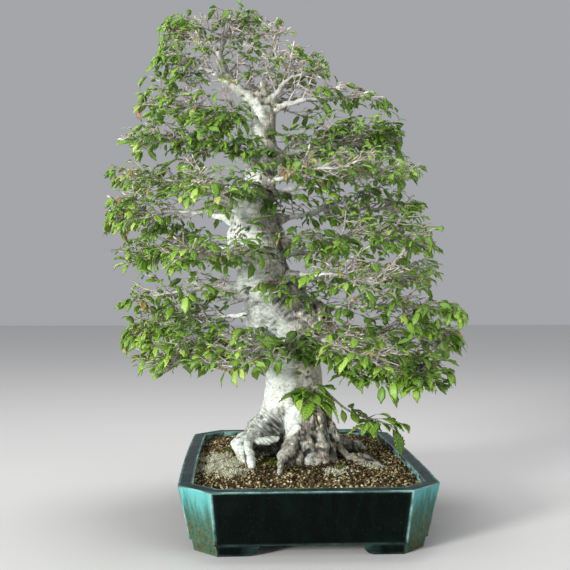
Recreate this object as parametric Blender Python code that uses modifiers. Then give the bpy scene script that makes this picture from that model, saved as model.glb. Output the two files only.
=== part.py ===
# Japanese beech bonsai in a glazed cut-corner pot.
# Metres, +Z up. X runs left to right as the tree is shown, and the pot's long side runs along Y.
# The tree is modelled about the middle of the pot's footprint. At the end all of it is moved level,
# so that the origin is the middle of the whole object's bounding box, on the surface it stands on.

import math

import bmesh
import bpy
import numpy as np
from mathutils import Matrix, Vector
from mathutils.bvhtree import BVHTree

# Pot
POT_WIDTH = 0.350
POT_LENGTH = 0.500
POT_HEIGHT = 0.088
CORNER_CUT = 0.044
SIDE_BOW = 0.003
WALL_SLOPE = 0.018 / 0.088
RIM_WIDTH = 0.020
LIP_DEPTH = 0.009
WALL = 0.011
FLOOR_THICKNESS = 0.011
EDGE_CHAMFER = 0.0012
FOOT_HEIGHT = 0.015
FOOT_STEP = 0.003
FOOT_THICKNESS = 0.016
FOOT_RUN = 0.036
DRAIN_RADIUS = 0.017
DRAIN_OFFSET = 0.120

# Gap kept between pieces that touch
SEAT = 0.0003

# No leaf comes lower than this
SOIL_CLEAR = 0.099

# Drain screens
SCREEN_SIDE = 0.048
SCREEN_THICKNESS = 0.0012
SCREEN_CELLS = 3
SCREEN_BAR = 0.003

# Soil
SOIL_DROP = 0.008
SOIL_CROWN = 0.014
SOIL_PLUG_RADIUS = 0.044
SOIL_PLUG_DEPTH = 0.034
SOIL_RINGS = (0.90, 0.76, 0.62, 0.50, 0.40)

# Trunk: height, axis x, axis y, radius
TRUNK = (
    (0.054, -0.012, 0.000, 0.060),
    (0.092, -0.012, 0.000, 0.064),
    (0.112, -0.012, 0.000, 0.056),
    (0.140, -0.011, 0.000, 0.049),
    (0.170, -0.010, 0.000, 0.045),
    (0.205, -0.009, 0.000, 0.0425),
    (0.238, -0.010, 0.002, 0.044),
    (0.264, -0.014, 0.004, 0.051),
    (0.290, -0.017, 0.004, 0.060),
    (0.316, -0.030, 0.003, 0.055),
    (0.345, -0.043, 0.000, 0.048),
    (0.378, -0.056, -0.003, 0.041),
    (0.405, -0.064, -0.004, 0.041),
    (0.430, -0.068, -0.004, 0.042),
    (0.455, -0.071, -0.002, 0.034),
    (0.488, -0.070, 0.002, 0.026),
    (0.520, -0.063, 0.004, 0.0235),
    (0.560, -0.057, 0.003, 0.0210),
    (0.606, -0.057, 0.000, 0.0180),
    (0.634, -0.056, 0.000, 0.0185),
    (0.650, -0.058, 0.000, 0.0120),
)
TRUNK_SIDES = 15
FLARE_TOP = 0.210
FLARE_LOBES = ((200, 0.16), (262, 0.16), (300, 0.12), (335, 0.10), (40, 0.12), (95, 0.10), (140, 0.12))
LOBE_SPREAD = 20.0

# The leader that carries the crown off to the left: x, y, z, radius
LEADER = (
    (-0.056, 0.000, 0.622, 0.0140),
    (-0.068, -0.001, 0.645, 0.0125),
    (-0.086, -0.002, 0.655, 0.0110),
    (-0.105, -0.002, 0.669, 0.0095),
    (-0.120, 0.000, 0.693, 0.0080),
    (-0.128, 0.002, 0.722, 0.0060),
)

# Swellings and healed cuts on the trunk: x, y, z, radius
BURLS = (
    (-0.093, -0.014, 0.434, 0.020),
    (-0.048, -0.030, 0.404, 0.018),
    (0.011, -0.012, 0.292, 0.040),
    (-0.055, -0.012, 0.566, 0.016),
    (-0.048, -0.022, 0.300, 0.036),
    (-0.052, 0.022, 0.352, 0.032),
)

# Surface roots: bearing in degrees, reach from the axis, start radius, end radius, start height
ROOTS = {
    "left_heel": (186, 0.112, 0.027, 0.017, 0.150),
    "left_toe": (214, 0.116, 0.022, 0.012, 0.140),
    "left_finger": (235, 0.128, 0.013, 0.006, 0.128),
    "front_long": (259, 0.160, 0.026, 0.007, 0.150),
    "front_lobe": (279, 0.098, 0.025, 0.014, 0.146),
    "right_lobe": (308, 0.084, 0.024, 0.013, 0.146),
    "right_long": (331, 0.158, 0.016, 0.004, 0.132),
    "right_back": (28, 0.138, 0.018, 0.006, 0.132),
    "back_right": (62, 0.120, 0.020, 0.008, 0.136),
    "back": (98, 0.124, 0.022, 0.009, 0.142),
    "back_left": (138, 0.128, 0.023, 0.009, 0.142),
    "left_back": (163, 0.104, 0.020, 0.010, 0.140),
}

# Limbs: height where they leave the trunk, then the tip's x, y, z and the radius at the trunk
LIMBS = {
    "left_01": (0.248, -0.216, -0.104, 0.234, 0.0072),
    "left_02": (0.302, -0.264, 0.070, 0.276, 0.0078),
    "left_03": (0.346, -0.270, -0.052, 0.326, 0.0078),
    "left_04": (0.404, -0.262, 0.098, 0.400, 0.0066),
    "left_05": (0.452, -0.286, -0.014, 0.460, 0.0080),
    "left_06": (0.494, -0.272, 0.082, 0.526, 0.0062),
    "left_07": (0.545, -0.248, -0.062, 0.572, 0.0060),
    "left_08": (0.604, -0.250, 0.030, 0.644, 0.0056),
    "right_01": (0.246, 0.182, -0.096, 0.214, 0.0068),
    "right_02": (0.282, 0.246, 0.042, 0.256, 0.0088),
    "right_03": (0.304, 0.238, -0.072, 0.310, 0.0076),
    "right_04": (0.348, 0.218, 0.094, 0.366, 0.0076),
    "right_05": (0.412, 0.202, -0.040, 0.416, 0.0074),
    "right_06": (0.448, 0.188, 0.092, 0.478, 0.0066),
    "right_07": (0.486, 0.168, -0.066, 0.518, 0.0070),
    "right_08": (0.552, 0.160, 0.050, 0.584, 0.0066),
    "right_09": (0.626, 0.130, -0.022, 0.648, 0.0056),
    "back_01": (0.262, 0.086, 0.206, 0.246, 0.0074),
    "back_02": (0.330, -0.142, 0.192, 0.336, 0.0070),
    "back_03": (0.384, 0.076, 0.196, 0.412, 0.0066),
    "back_04": (0.462, -0.112, 0.176, 0.488, 0.0062),
    "back_05": (0.540, 0.022, 0.150, 0.574, 0.0058),
    "front_01": (0.258, -0.108, -0.194, 0.238, 0.0066),
    "front_02": (0.270, 0.100, -0.194, 0.242, 0.0068),
    "front_03": (0.362, 0.112, -0.164, 0.352, 0.0062),
    "front_04": (0.390, -0.178, -0.146, 0.388, 0.0062),
    "front_05": (0.478, -0.146, -0.140, 0.490, 0.0056),
    "front_06": (0.510, 0.060, -0.142, 0.516, 0.0056),
    "top_01": (0.636, 0.036, -0.068, 0.692, 0.0056),
    "top_02": (0.644, 0.012, 0.058, 0.730, 0.0054),
    "top_03": (0.646, -0.036, -0.040, 0.764, 0.0056),
}

# Limbs that leave the leader: the leader point's number, then as above without the height
CROWN_LIMBS = {
    "crown_01": (3, -0.214, -0.048, 0.700, 0.0050),
    "crown_02": (5, -0.186, 0.026, 0.762, 0.0050),
    "crown_03": (5, -0.100, 0.000, 0.780, 0.0048),
}

BARE_SHARE = 0.36
JOIN_RADIUS = 0.0034
TIP_RADIUS = 0.0012
LIMB_RISE = 0.055
LIMB_SWAY = 0.0095
LIMB_POINTS = 9

# A spray's stem ends short of the limb's tip, and leafy twigs carry on from there
STEM_SHARE = 0.84

# Leaves and the stalks of leafy twigs
LEAF_LENGTH = 0.041
LEAF_WIDTH = 0.024
LEAF_THICKNESS = 0.00075
STALK_WIDTH = 0.0014
STALK_SUNK = 0.0012
LEAF_CLEAR = 0.0034
GUARD_THICKNESS = 0.0022

# Leafy twigs: stalk length, then for each leaf its place along the stalk, its side, its angle off
# the stalk, its size, how far its tip sags and how far its edges fold up
TWIG_SHAPES = (
    (0.037, ((0.52, 1, 56, 0.96, 0.30, 0.35), (1, -1, 44, 1.00, 0.42, 0.20), (1, 0, 8, 1.04, 0.24, 0.30))),
    (0.034, ((0.46, -1, 60, 1.00, 0.48, 0.25), (1, 1, 46, 0.94, 0.22, 0.42), (1, 0, -10, 1.00, 0.40, 0.22))),
    (0.040, ((0.56, 1, 50, 1.02, 0.20, 0.15), (1, -1, 50, 0.92, 0.55, 0.35), (1, 0, 12, 1.06, 0.32, 0.38))),
    (0.036, ((0.48, -1, 54, 0.94, 0.36, 0.40), (1, 1, 40, 1.04, 0.30, 0.18), (1, 0, -6, 0.96, 0.52, 0.26))),
)
LONE_SHAPES = (
    (0.015, ((1, 0, 0, 1.04, 0.34, 0.34),)),
    (0.012, ((1, 0, 0, 0.96, 0.50, 0.22),)),
)
TWIG_POSES = (
    (10, 0, 0), (-4, 14, 0), (24, -14, 0), (2, -24, 30), (38, 6, -24), (14, 30, 24), (-18, 0, 12),
    (52, 0, 0), (30, -34, 50), (6, 44, -50), (66, 20, 20), (-30, -20, 0),
)

# The shoot low on the right and the sprout on the trunk's face: points with radii
LOW_SHOOT = (
    (0.031, -0.010, 0.199, 0.0022),
    (0.056, -0.018, 0.174, 0.0019),
    (0.080, -0.024, 0.157, 0.0016),
    (0.112, -0.030, 0.147, 0.0014),
    (0.138, -0.036, 0.139, 0.0011),
)
FACE_SPROUT = (
    (0.012, -0.036, 0.216, 0.0020),
    (0.017, -0.056, 0.206, 0.0017),
    (0.012, -0.070, 0.196, 0.0014),
    (0.018, -0.082, 0.186, 0.0011),
)
STUB_SHARE = 0.10


def scatter(*keys):
    """A repeatable number from 0 to 1 for these keys."""
    total = sum((k + 1) * (12.9898 + 31.417 * n) for n, k in enumerate(keys))
    return (math.sin(total) * 43758.5453) % 1.0


def clear_scene():
    for obj in list(bpy.data.objects):
        bpy.data.objects.remove(obj, do_unlink=True)


def collection(name):
    made = bpy.data.collections.new(name)
    bpy.context.scene.collection.children.link(made)
    return made


def material(name, colour, roughness, metallic=0.0):
    made = bpy.data.materials.new(name)
    made.use_nodes = True
    shader = made.node_tree.nodes["Principled BSDF"]
    shader.inputs["Base Color"].default_value = (*colour, 1.0)
    shader.inputs["Roughness"].default_value = roughness
    shader.inputs["Metallic"].default_value = metallic
    return made


def add_object(name, mesh, home):
    obj = bpy.data.objects.new(name, mesh)
    home.objects.link(obj)
    return obj


def finish(obj, finish_material, smooth_angle):
    obj.data.materials.clear()
    obj.data.materials.append(finish_material)
    obj.data.shade_smooth()
    obj.data.set_sharp_from_angle(angle=math.radians(smooth_angle))


def evaluated_mesh(obj):
    graph = bpy.context.evaluated_depsgraph_get()
    graph.update()
    return bpy.data.meshes.new_from_object(obj.evaluated_get(graph))


def bake(obj):
    """Applies every modifier of a mesh object."""
    mesh = evaluated_mesh(obj)
    obj.modifiers.clear()
    obj.data = mesh


def drop(objects):
    for obj in objects:
        bpy.data.objects.remove(obj, do_unlink=True)


def loft(name, rings, home, split=False):
    """A closed solid through rings of equally many points, capped at both ends, its sides split if asked."""
    bm = bmesh.new()
    rows = [[bm.verts.new(p) for p in ring] for ring in rings]
    count = len(rings[0])
    for low, high in zip(rows, rows[1:]):
        for i in range(count):
            j = (i + 1) % count
            if split:
                bm.faces.new((low[i], low[j], high[j]))
                bm.faces.new((low[i], high[j], high[i]))
            else:
                bm.faces.new((low[i], low[j], high[j], high[i]))
    bm.faces.new(list(reversed(rows[0])))
    bm.faces.new(rows[-1])
    bmesh.ops.recalc_face_normals(bm, faces=bm.faces)
    mesh = bpy.data.meshes.new(name)
    bm.to_mesh(mesh)
    bm.free()
    return add_object(name, mesh, home)


def tube(name, points, radii, home, sides):
    """A closed tube mesh: a curve with a many-sided section, its radius changing from point to point."""
    section = bpy.data.curves.new(name + "_section", "CURVE")
    section.dimensions = "2D"
    ring = section.splines.new("POLY")
    ring.points.add(sides - 1)
    for step, point in enumerate(ring.points):
        turn = 2 * math.pi * (step + 0.5) / sides
        point.co = (math.cos(turn), math.sin(turn), 0, 1)
    ring.use_cyclic_u = True
    section_guide = add_object(name + "_section", section, home)
    curve = bpy.data.curves.new(name, "CURVE")
    curve.dimensions = "3D"
    curve.bevel_mode = "OBJECT"
    curve.bevel_object = section_guide
    curve.use_fill_caps = True
    spline = curve.splines.new("POLY")
    spline.points.add(len(points) - 1)
    for point, place, radius in zip(spline.points, points, radii):
        point.co = (*place, 1.0)
        point.radius = radius
    guide = add_object(name + "_guide", curve, home)
    mesh = evaluated_mesh(guide)
    drop([guide, section_guide])
    bm = bmesh.new()
    bm.from_mesh(mesh)
    bmesh.ops.remove_doubles(bm, verts=bm.verts, dist=1e-6)
    bmesh.ops.recalc_face_normals(bm, faces=bm.faces)
    bm.to_mesh(mesh)
    bm.free()
    return add_object(name, mesh, home)


def cylinder(name, radius, depth, place, home, segments=24):
    bm = bmesh.new()
    bmesh.ops.create_cone(
        bm, cap_ends=True, segments=segments, radius1=radius, radius2=radius, depth=depth,
        matrix=Matrix.Translation(place),
    )
    mesh = bpy.data.meshes.new(name)
    bm.to_mesh(mesh)
    bm.free()
    return add_object(name, mesh, home)


def box(name, size, place, home):
    bm = bmesh.new()
    bmesh.ops.create_cube(bm, size=1.0, matrix=Matrix.Translation(place) @ Matrix.Diagonal((*size, 1.0)))
    mesh = bpy.data.meshes.new(name)
    bm.to_mesh(mesh)
    bm.free()
    return add_object(name, mesh, home)


def boolean(obj, operation, cutter, solver="EXACT"):
    """cutter is an object, or a collection of them."""
    modifier = obj.modifiers.new(operation.lower(), "BOOLEAN")
    modifier.operation = operation
    modifier.solver = solver
    if isinstance(cutter, bpy.types.Collection):
        modifier.operand_type = "COLLECTION"
        modifier.collection = cutter
    else:
        modifier.object = cutter


def join_all(obj, others):
    """Unites every object of the collection others into obj, then removes them and any needless points."""
    boolean(obj, "UNION", others, "MANIFOLD")
    bake(obj)
    drop(list(others.objects))
    clean(obj)


def clean(obj):
    """Takes out the points that lie on a straight edge or a flat face."""
    bm = bmesh.new()
    bm.from_mesh(obj.data)
    bmesh.ops.dissolve_limit(bm, angle_limit=0.001, verts=bm.verts, edges=bm.edges, use_dissolve_boundaries=False)
    bmesh.ops.triangulate(bm, faces=bm.faces)
    if all(edge.is_manifold for edge in bm.edges):
        bm.to_mesh(obj.data)
    bm.free()


def pot_outline(inset, height, long_steps=4):
    """The cut-corner plan, drawn in from the rim's outer edge, anticlockwise from the front left."""
    half_x = POT_WIDTH / 2 - inset
    half_y = POT_LENGTH / 2 - inset
    cut = CORNER_CUT - inset * (2 - math.sqrt(2))
    straight = half_y - cut
    right = []
    for step in range(long_steps + 1):
        y = straight * (2 * step / long_steps - 1)
        right.append((half_x + SIDE_BOW * (1 - (y / straight) ** 2), y))
    left = [(-x, -y) for x, y in right]
    front = [(cut - half_x, -half_y), (half_x - cut, -half_y)]
    back = [(half_x - cut, half_y), (cut - half_x, half_y)]
    return [Vector((x, y, height)) for x, y in front + right + back + left]


def slope_at(height):
    """How far the pot's outer face stands in from the rim at this height."""
    return (POT_HEIGHT - height) * WALL_SLOPE


def foot_gap(name, half_span, depth, turned, home):
    """The opening between two feet, wider at the surface and curved in towards the body."""
    curve_steps = 4
    end = FOOT_HEIGHT * 1.1
    corner = []
    for step in range(curve_steps + 1):
        angle = math.pi / 2 * step / curve_steps
        corner.append((half_span - end * math.sin(angle), FOOT_HEIGHT * (1 - math.cos(angle))))
    corner.reverse()
    profile = [(x, z) for x, z in corner] + [(half_span, -FOOT_HEIGHT)]
    outline = [(-x, z) for x, z in reversed(profile)] + profile
    rings = []
    for side in (-1, 1):
        ring = [Vector((x, side * depth, z)) for x, z in outline]
        rings.append([Vector((-p.y, p.x, p.z)) if turned else p for p in ring])
    return loft(name, rings, home)


def make_pot(home, tools, glaze):
    foot_out = slope_at(0) + FOOT_STEP
    top = POT_HEIGHT
    lip_foot = top - LIP_DEPTH
    floor = FOOT_HEIGHT + FLOOR_THICKNESS
    rings = [
        pot_outline(foot_out, 0),
        pot_outline(slope_at(FOOT_HEIGHT) + FOOT_STEP, FOOT_HEIGHT),
        pot_outline(slope_at(FOOT_HEIGHT), FOOT_HEIGHT),
        pot_outline(EDGE_CHAMFER * 0.6, top - EDGE_CHAMFER),
        pot_outline(EDGE_CHAMFER, top),
        pot_outline(RIM_WIDTH - EDGE_CHAMFER, top),
        pot_outline(RIM_WIDTH, top - EDGE_CHAMFER),
        pot_outline(RIM_WIDTH, lip_foot),
        pot_outline(WALL + slope_at(lip_foot), lip_foot - 0.004),
        pot_outline(WALL + slope_at(floor), floor),
    ]
    pot = loft("pot", rings, home)

    recess_in = foot_out + FOOT_THICKNESS
    recess = [pot_outline(recess_in, -FOOT_HEIGHT), pot_outline(recess_in, FOOT_HEIGHT)]
    loft("foot_recess", recess, tools)
    across = POT_WIDTH / 2 - foot_out - CORNER_CUT + 0.01 - FOOT_RUN
    along = POT_LENGTH / 2 - foot_out - CORNER_CUT + 0.01 - FOOT_RUN
    foot_gap("foot_gap_across", across, POT_LENGTH, False, tools)
    foot_gap("foot_gap_along", along, POT_WIDTH, True, tools)
    for side in (-1, 1):
        place = (0, side * DRAIN_OFFSET, FOOT_HEIGHT)
        cylinder(f"drain_{side}", DRAIN_RADIUS, 4 * FLOOR_THICKNESS, place, tools)
    for number, cutter in enumerate(list(tools.objects)):
        cutter.hide_render = True
        cutter.display_type = "WIRE"
        boolean(pot, "DIFFERENCE", cutter)
        pot.modifiers[-1].name = f"cut {number}"
    bake(pot)
    finish(pot, glaze, 30)
    return pot


def make_screens(home, tools, plastic):
    """A square plastic mesh lies over each drain hole, under the soil."""
    floor = FOOT_HEIGHT + FLOOR_THICKNESS
    pitch = (SCREEN_SIDE - SCREEN_BAR) / SCREEN_CELLS
    hole = pitch - SCREEN_BAR
    for side, name in ((-1, "drain_screen_front"), (1, "drain_screen_back")):
        place = Vector((0, side * DRAIN_OFFSET, floor + SEAT + SCREEN_THICKNESS / 2))
        screen = box(name, (SCREEN_SIDE, SCREEN_SIDE, SCREEN_THICKNESS), place, home)
        cutters = []
        for row in range(SCREEN_CELLS):
            for column in range(SCREEN_CELLS):
                shift = Vector((column - (SCREEN_CELLS - 1) / 2, row - (SCREEN_CELLS - 1) / 2, 0)) * pitch
                cutter = box(f"cell_{row}_{column}", (hole, hole, 0.01), place + shift, tools)
                cutters.append(cutter)
        for cutter in cutters:
            boolean(screen, "DIFFERENCE", cutter)
        bake(screen)
        drop(cutters)
        finish(screen, plastic, 30)


def soil_height(share):
    """The soil's surface between its edge, where share is 1, and the trunk, where it is 0."""
    mound = math.cos(min(share, 1.0) * math.pi / 2) ** 1.2
    return POT_HEIGHT - SOIL_DROP + SOIL_CROWN * mound


def soil_ring(inset, height):
    """The soil's plan at a height, with two more points along its front and its back edge."""
    outline = pot_outline(inset, height)
    made = []
    for number, point in enumerate(outline):
        made.append(point)
        ahead = outline[(number + 1) % len(outline)]
        if abs(ahead.y - point.y) < 1e-6:
            made += [point.lerp(ahead, 1 / 3), point.lerp(ahead, 2 / 3)]
    return made


def soil_solid(name, raised, home):
    """The soil. With raised above 0 it is the shape that cuts the trunk: higher by that, with a tighter hole."""
    floor = FOOT_HEIGHT + FLOOR_THICKNESS + SCREEN_THICKNESS + 2 * SEAT
    lip_foot = POT_HEIGHT - LIP_DEPTH
    levels = (
        (WALL + slope_at(floor) + 0.001, floor),
        (WALL + slope_at(lip_foot - 0.006) + SEAT, lip_foot - 0.006),
        (RIM_WIDTH + SEAT, lip_foot - 0.004 - SEAT),
        (RIM_WIDTH + SEAT, soil_height(1.0) + raised),
    )
    rings = []
    for inset, height in levels:
        rings.append(soil_ring(inset, height))
    edge = [p.to_2d() for p in soil_ring(RIM_WIDTH + SEAT, 0)]
    middle = Vector((TRUNK[1][1], TRUNK[1][2]))
    for share in SOIL_RINGS:
        height = soil_height(share) + raised
        rings.append([Vector((*(middle * (1 - share) + p * share), height)) for p in edge])
    plug = SOIL_PLUG_RADIUS - raised
    for height in (soil_height(0.0) + raised, soil_height(0.0) - SOIL_PLUG_DEPTH + raised):
        ring = []
        for p in edge:
            ray = p.normalized()
            ring.append(Vector((middle.x + ray.x * plug, middle.y + ray.y * plug, height)))
        rings.append(ring)
    return loft(name, rings, home, True)


def trunk_at(height):
    """The trunk's axis and radius at a height."""
    for low, high in zip(TRUNK, TRUNK[1:]):
        if height <= high[0]:
            share = (height - low[0]) / (high[0] - low[0])
            x, y, radius = (low[k] + (high[k] - low[k]) * share for k in (1, 2, 3))
            return Vector((x, y, height)), radius
    return Vector((TRUNK[-1][1], TRUNK[-1][2], height)), TRUNK[-1][3]


def trunk_ring(height, x, y, radius):
    """One section of the trunk: lobed over the roots near the soil, and slightly uneven above."""
    flare = max(0.0, 1 - (height - 0.08) / (FLARE_TOP - 0.08))
    flare = min(flare, 1.0)
    ring = []
    for step in range(TRUNK_SIDES):
        angle = 360 * step / TRUNK_SIDES
        swell = 1 + 0.05 * math.cos(math.radians(3 * angle) + 40 * height)
        for bearing, size in FLARE_LOBES:
            apart = (angle - bearing + 180) % 360 - 180
            swell += flare * size * math.exp(-((apart / LOBE_SPREAD) ** 2))
        reach = radius * swell
        turn = math.radians(angle)
        ring.append(Vector((x + reach * math.cos(turn), y + reach * math.sin(turn), height)))
    return ring


def curve_through(points, count):
    """count points on a smooth curve through the given points."""
    padded = [2 * points[0] - points[1], *points, 2 * points[-1] - points[-2]]
    spans = len(points) - 1
    made = []
    for step in range(count):
        place = spans * step / (count - 1)
        span = min(int(place), spans - 1)
        t = place - span
        a, b, c, d = padded[span:span + 4]
        made.append(0.5 * (2 * b + (c - a) * t + (2 * a - 5 * b + 4 * c - d) * t * t
                           + (3 * b - a - 3 * c + d) * t * t * t))
    return made


def root_path(bearing, reach, start_radius, end_radius, start_height):
    """A root leaves the trunk's flank, comes down to the soil, runs over it and dives at its tip."""
    turn = math.radians(bearing)
    out = Vector((math.cos(turn), math.sin(turn), 0))
    side = Vector((-out.y, out.x, 0))
    centre = trunk_at(start_height)[0]
    ground = soil_height(0.3)
    bend = (scatter(bearing, 3) - 0.5) * 0.030
    knots = [
        centre + out * 0.016,
        Vector((centre.x, centre.y, start_height - 0.018)) + out * 0.046,
        Vector((centre.x, centre.y, ground + start_radius * 0.55)) + out * (0.046 + 0.40 * (reach - 0.046))
        + side * bend * 0.5,
        Vector((centre.x, centre.y, ground + end_radius * 0.35)) + out * (0.046 + 0.78 * (reach - 0.046))
        + side * bend,
        Vector((centre.x, centre.y, soil_height(0.7) - end_radius * 1.3)) + out * reach + side * bend * 0.8,
    ]
    points = curve_through(knots, 7)
    radii = [start_radius + (end_radius - start_radius) * (i / 6) ** 0.8 for i in range(7)]
    return points, radii


def limb_start(name):
    if name in LIMBS:
        return trunk_at(LIMBS[name][0])[0]
    x, y, z, _ = LEADER[CROWN_LIMBS[name][0]]
    return Vector((x, y, z))


def limb_path(number, name):
    """A limb from the axis of what bears it out to its tip, rising first and swaying a little."""
    row = LIMBS.get(name) or CROWN_LIMBS[name]
    start = limb_start(name)
    tip = Vector(row[1:4])
    run = tip - start
    level = Vector((run.x, run.y, 0))
    side = Vector((-level.y, level.x, 0)).normalized()
    rise = LIMB_RISE * level.length
    knots = []
    for step in range(LIMB_POINTS):
        t = step / (LIMB_POINTS - 1)
        sway = LIMB_SWAY * math.sin(t * math.pi) * math.sin(7.1 * t + 6.28 * scatter(number, 1))
        kink = 0.35 * LIMB_SWAY * (scatter(number, step, 5) - 0.5) * math.sin(t * math.pi)
        lift = rise * math.sin(t * math.pi) + kink
        knots.append(start + run * t + side * sway + Vector((0, 0, lift)))
    radii = []
    for step in range(LIMB_POINTS):
        t = step / (LIMB_POINTS - 1)
        if t < BARE_SHARE:
            radii.append(row[4] + (JOIN_RADIUS - row[4]) * (t / BARE_SHARE) ** 0.8)
        else:
            radii.append(JOIN_RADIUS + (TIP_RADIUS - JOIN_RADIUS) * ((t - BARE_SHARE) / (1 - BARE_SHARE)) ** 0.7)
    return knots, radii


def split_path(points, radii, share, gap):
    """The path up to a share of its length, and the rest after the gap, which both end square to the path."""
    place = share * (len(points) - 1)
    span = int(place)
    t = place - span
    cut = points[span].lerp(points[span + 1], t)
    radius = radii[span] + (radii[span + 1] - radii[span]) * t
    step = (points[span + 1] - points[span]).normalized()
    before = points[:span + 1] + [cut - step * gap / 2]
    after = [cut + step * gap / 2] + points[span + 1:]
    return (before, radii[:span + 1] + [radius]), (after, [radius] + radii[span + 1:])


def shortened(path, share):
    """A path cut off at a share of its length."""
    return split_path(*path, share, 0.0)[0]


def thinned(path, start):
    """A path with every second one of its inner points, from start on."""
    points, radii = path
    last = len(points) - 1
    picks = [i for i in range(len(points)) if i in (0, last) or i % 2 == start % 2]
    return [points[i] for i in picks], [radii[i] for i in picks]


def point_on(points, share):
    place = share * (len(points) - 1)
    span = min(int(place), len(points) - 2)
    return points[span].lerp(points[span + 1], place - span), (points[span + 1] - points[span]).normalized()


def leaf_outline(neck, heading, size, sag, fold, number, grown):
    """The five points round a leaf, anticlockwise from its stalk: two on one edge, the tip, two on the other."""
    out = Vector((math.cos(heading), math.sin(heading), 0))
    side = Vector((-out.y, out.x, 0))
    length = LEAF_LENGTH * size
    made = []
    for place, (along, across) in enumerate(((0.30, -0.88), (0.66, -0.80), (1.0, 0), (0.66, 0.84), (0.30, 0.84))):
        half = across * LEAF_WIDTH / 2 * size
        wave = 0.0015 * math.sin(2.4 * place + 1.7 * number) * abs(across)
        height = -sag * length * along ** 2 + fold * abs(half) + wave
        reach = length * along * (1 - 0.25 * sag * along)
        stretch = grown if along == 1.0 or abs(across) > 0 else 1.0
        made.append(neck + out * reach * stretch + side * half * stretch + Vector((0, 0, height)))
    return made


def leafy_twig_mesh(name, stalk, leaves, number, thickness, grown):
    """One to three leaves on a thin stalk. The stalk starts at the origin and runs along +X."""
    half = STALK_WIDTH / 2
    bm = bmesh.new()
    base_right = bm.verts.new((0, -half, 0))
    base_left = bm.verts.new((0, half, 0))
    end_right = bm.verts.new((stalk, -half, 0))
    end_left = bm.verts.new((stalk, half, 0))
    strip_right = [base_right]
    strip_left = [base_left]
    necks = []
    for place, side, angle, size, sag, fold in leaves:
        if side == 0:
            necks.append((end_right, end_left, angle, size, sag, fold))
        elif side > 0:
            near = bm.verts.new((stalk * place - 2.2 * half, half, 0))
            far = end_left if place == 1 else bm.verts.new((stalk * place, half, 0))
            necks.append((far, near, angle, size, sag, fold))
            strip_left += [near] if place == 1 else [near, far]
        else:
            near = bm.verts.new((stalk * place - 2.2 * half, -half, 0))
            far = end_right if place == 1 else bm.verts.new((stalk * place, -half, 0))
            necks.append((near, far, -angle, size, sag, fold))
            strip_right += [near] if place == 1 else [near, far]
    strip_right.append(end_right)
    strip_left.append(end_left)
    i, j = 0, 0
    while i < len(strip_right) - 1 or j < len(strip_left) - 1:
        ahead_right = strip_right[i + 1].co.x if i < len(strip_right) - 1 else math.inf
        ahead_left = strip_left[j + 1].co.x if j < len(strip_left) - 1 else math.inf
        if ahead_right <= ahead_left:
            bm.faces.new((strip_right[i], strip_right[i + 1], strip_left[j]))
            i += 1
        else:
            bm.faces.new((strip_right[i], strip_left[j + 1], strip_left[j]))
            j += 1
    for k, (first, second, angle, size, sag, fold) in enumerate(necks):
        neck = (first.co + second.co) / 2
        places = leaf_outline(neck, math.radians(angle), size, sag, fold, number + 3 * k, grown)
        a, b, tip, c, d = [bm.verts.new(p) for p in places]
        bm.faces.new((first, a, d))
        bm.faces.new((first, d, second))
        bm.faces.new((a, b, c))
        bm.faces.new((a, c, d))
        bm.faces.new((b, tip, c))
    mesh = bpy.data.meshes.new(name)
    bm.to_mesh(mesh)
    bm.free()
    sheet = add_object(name, mesh, bpy.context.scene.collection)
    wall = sheet.modifiers.new("thickness", "SOLIDIFY")
    wall.thickness = thickness
    wall.offset = 0
    bake(sheet)
    mesh = sheet.data
    drop([sheet])
    bm = bmesh.new()
    bm.from_mesh(mesh)
    bmesh.ops.triangulate(bm, faces=bm.faces)
    bmesh.ops.recalc_face_normals(bm, faces=bm.faces)
    bm.to_mesh(mesh)
    bm.free()
    return mesh


def spread_points(mesh):
    """Points all over a mesh's faces, about 4 mm apart."""
    made = []
    for face in mesh.polygons:
        a, b, c = [mesh.vertices[v].co for v in face.vertices]
        count = max(1, math.ceil(max((b - a).length, (c - a).length, (c - b).length) / 0.006))
        for i in range(count + 1):
            for j in range(count + 1 - i):
                made.append(a + (b - a) * i / count + (c - a) * j / count)
    return np.unique(np.round(np.array(made), 4), axis=0)


def make_twig_shapes(shapes):
    """Each leafy twig's mesh, a thicker and slightly larger copy that keeps leaves apart, and its points."""
    made = []
    for number, (stalk, leaves) in enumerate(shapes):
        mesh = leafy_twig_mesh(f"leafy_twig_{number}", stalk, leaves, number, LEAF_THICKNESS, 1.0)
        guard = leafy_twig_mesh(f"leaf_guard_{number}", stalk, leaves, number, GUARD_THICKNESS, 1.03)
        made.append((mesh, guard, spread_points(mesh)))
    return made


def placed_tree(mesh, matrix, skip_base):
    """A search tree of a leafy twig as placed. With skip_base the faces at its foot are left out."""
    places = [matrix @ v.co for v in mesh.vertices]
    faces = []
    for face in mesh.polygons:
        if skip_base and any(mesh.vertices[v].co.x < 0.004 for v in face.vertices):
            continue
        faces.append(tuple(face.vertices))
    return BVHTree.FromPolygons(places, faces)


class Room:
    """What space is taken, as balls with an owner each, so that a leaf can be kept clear of other nodes."""

    def __init__(self):
        self.places = np.zeros((0, 3))
        self.radii = np.zeros(0)
        self.owners = np.zeros(0, int)
        self.leaves = []

    def take(self, places, radii, owner):
        self.places = np.vstack([self.places, np.array(places, float).reshape(-1, 3)])
        self.radii = np.concatenate([self.radii, np.broadcast_to(radii, len(places))])
        self.owners = np.concatenate([self.owners, np.full(len(places), owner)])

    def is_clear(self, places, owner, margin):
        other = self.owners != owner
        gaps = np.linalg.norm(np.array(places)[:, None] - self.places[other][None], axis=2)
        return bool((gaps - self.radii[other][None] > margin).all())


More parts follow.
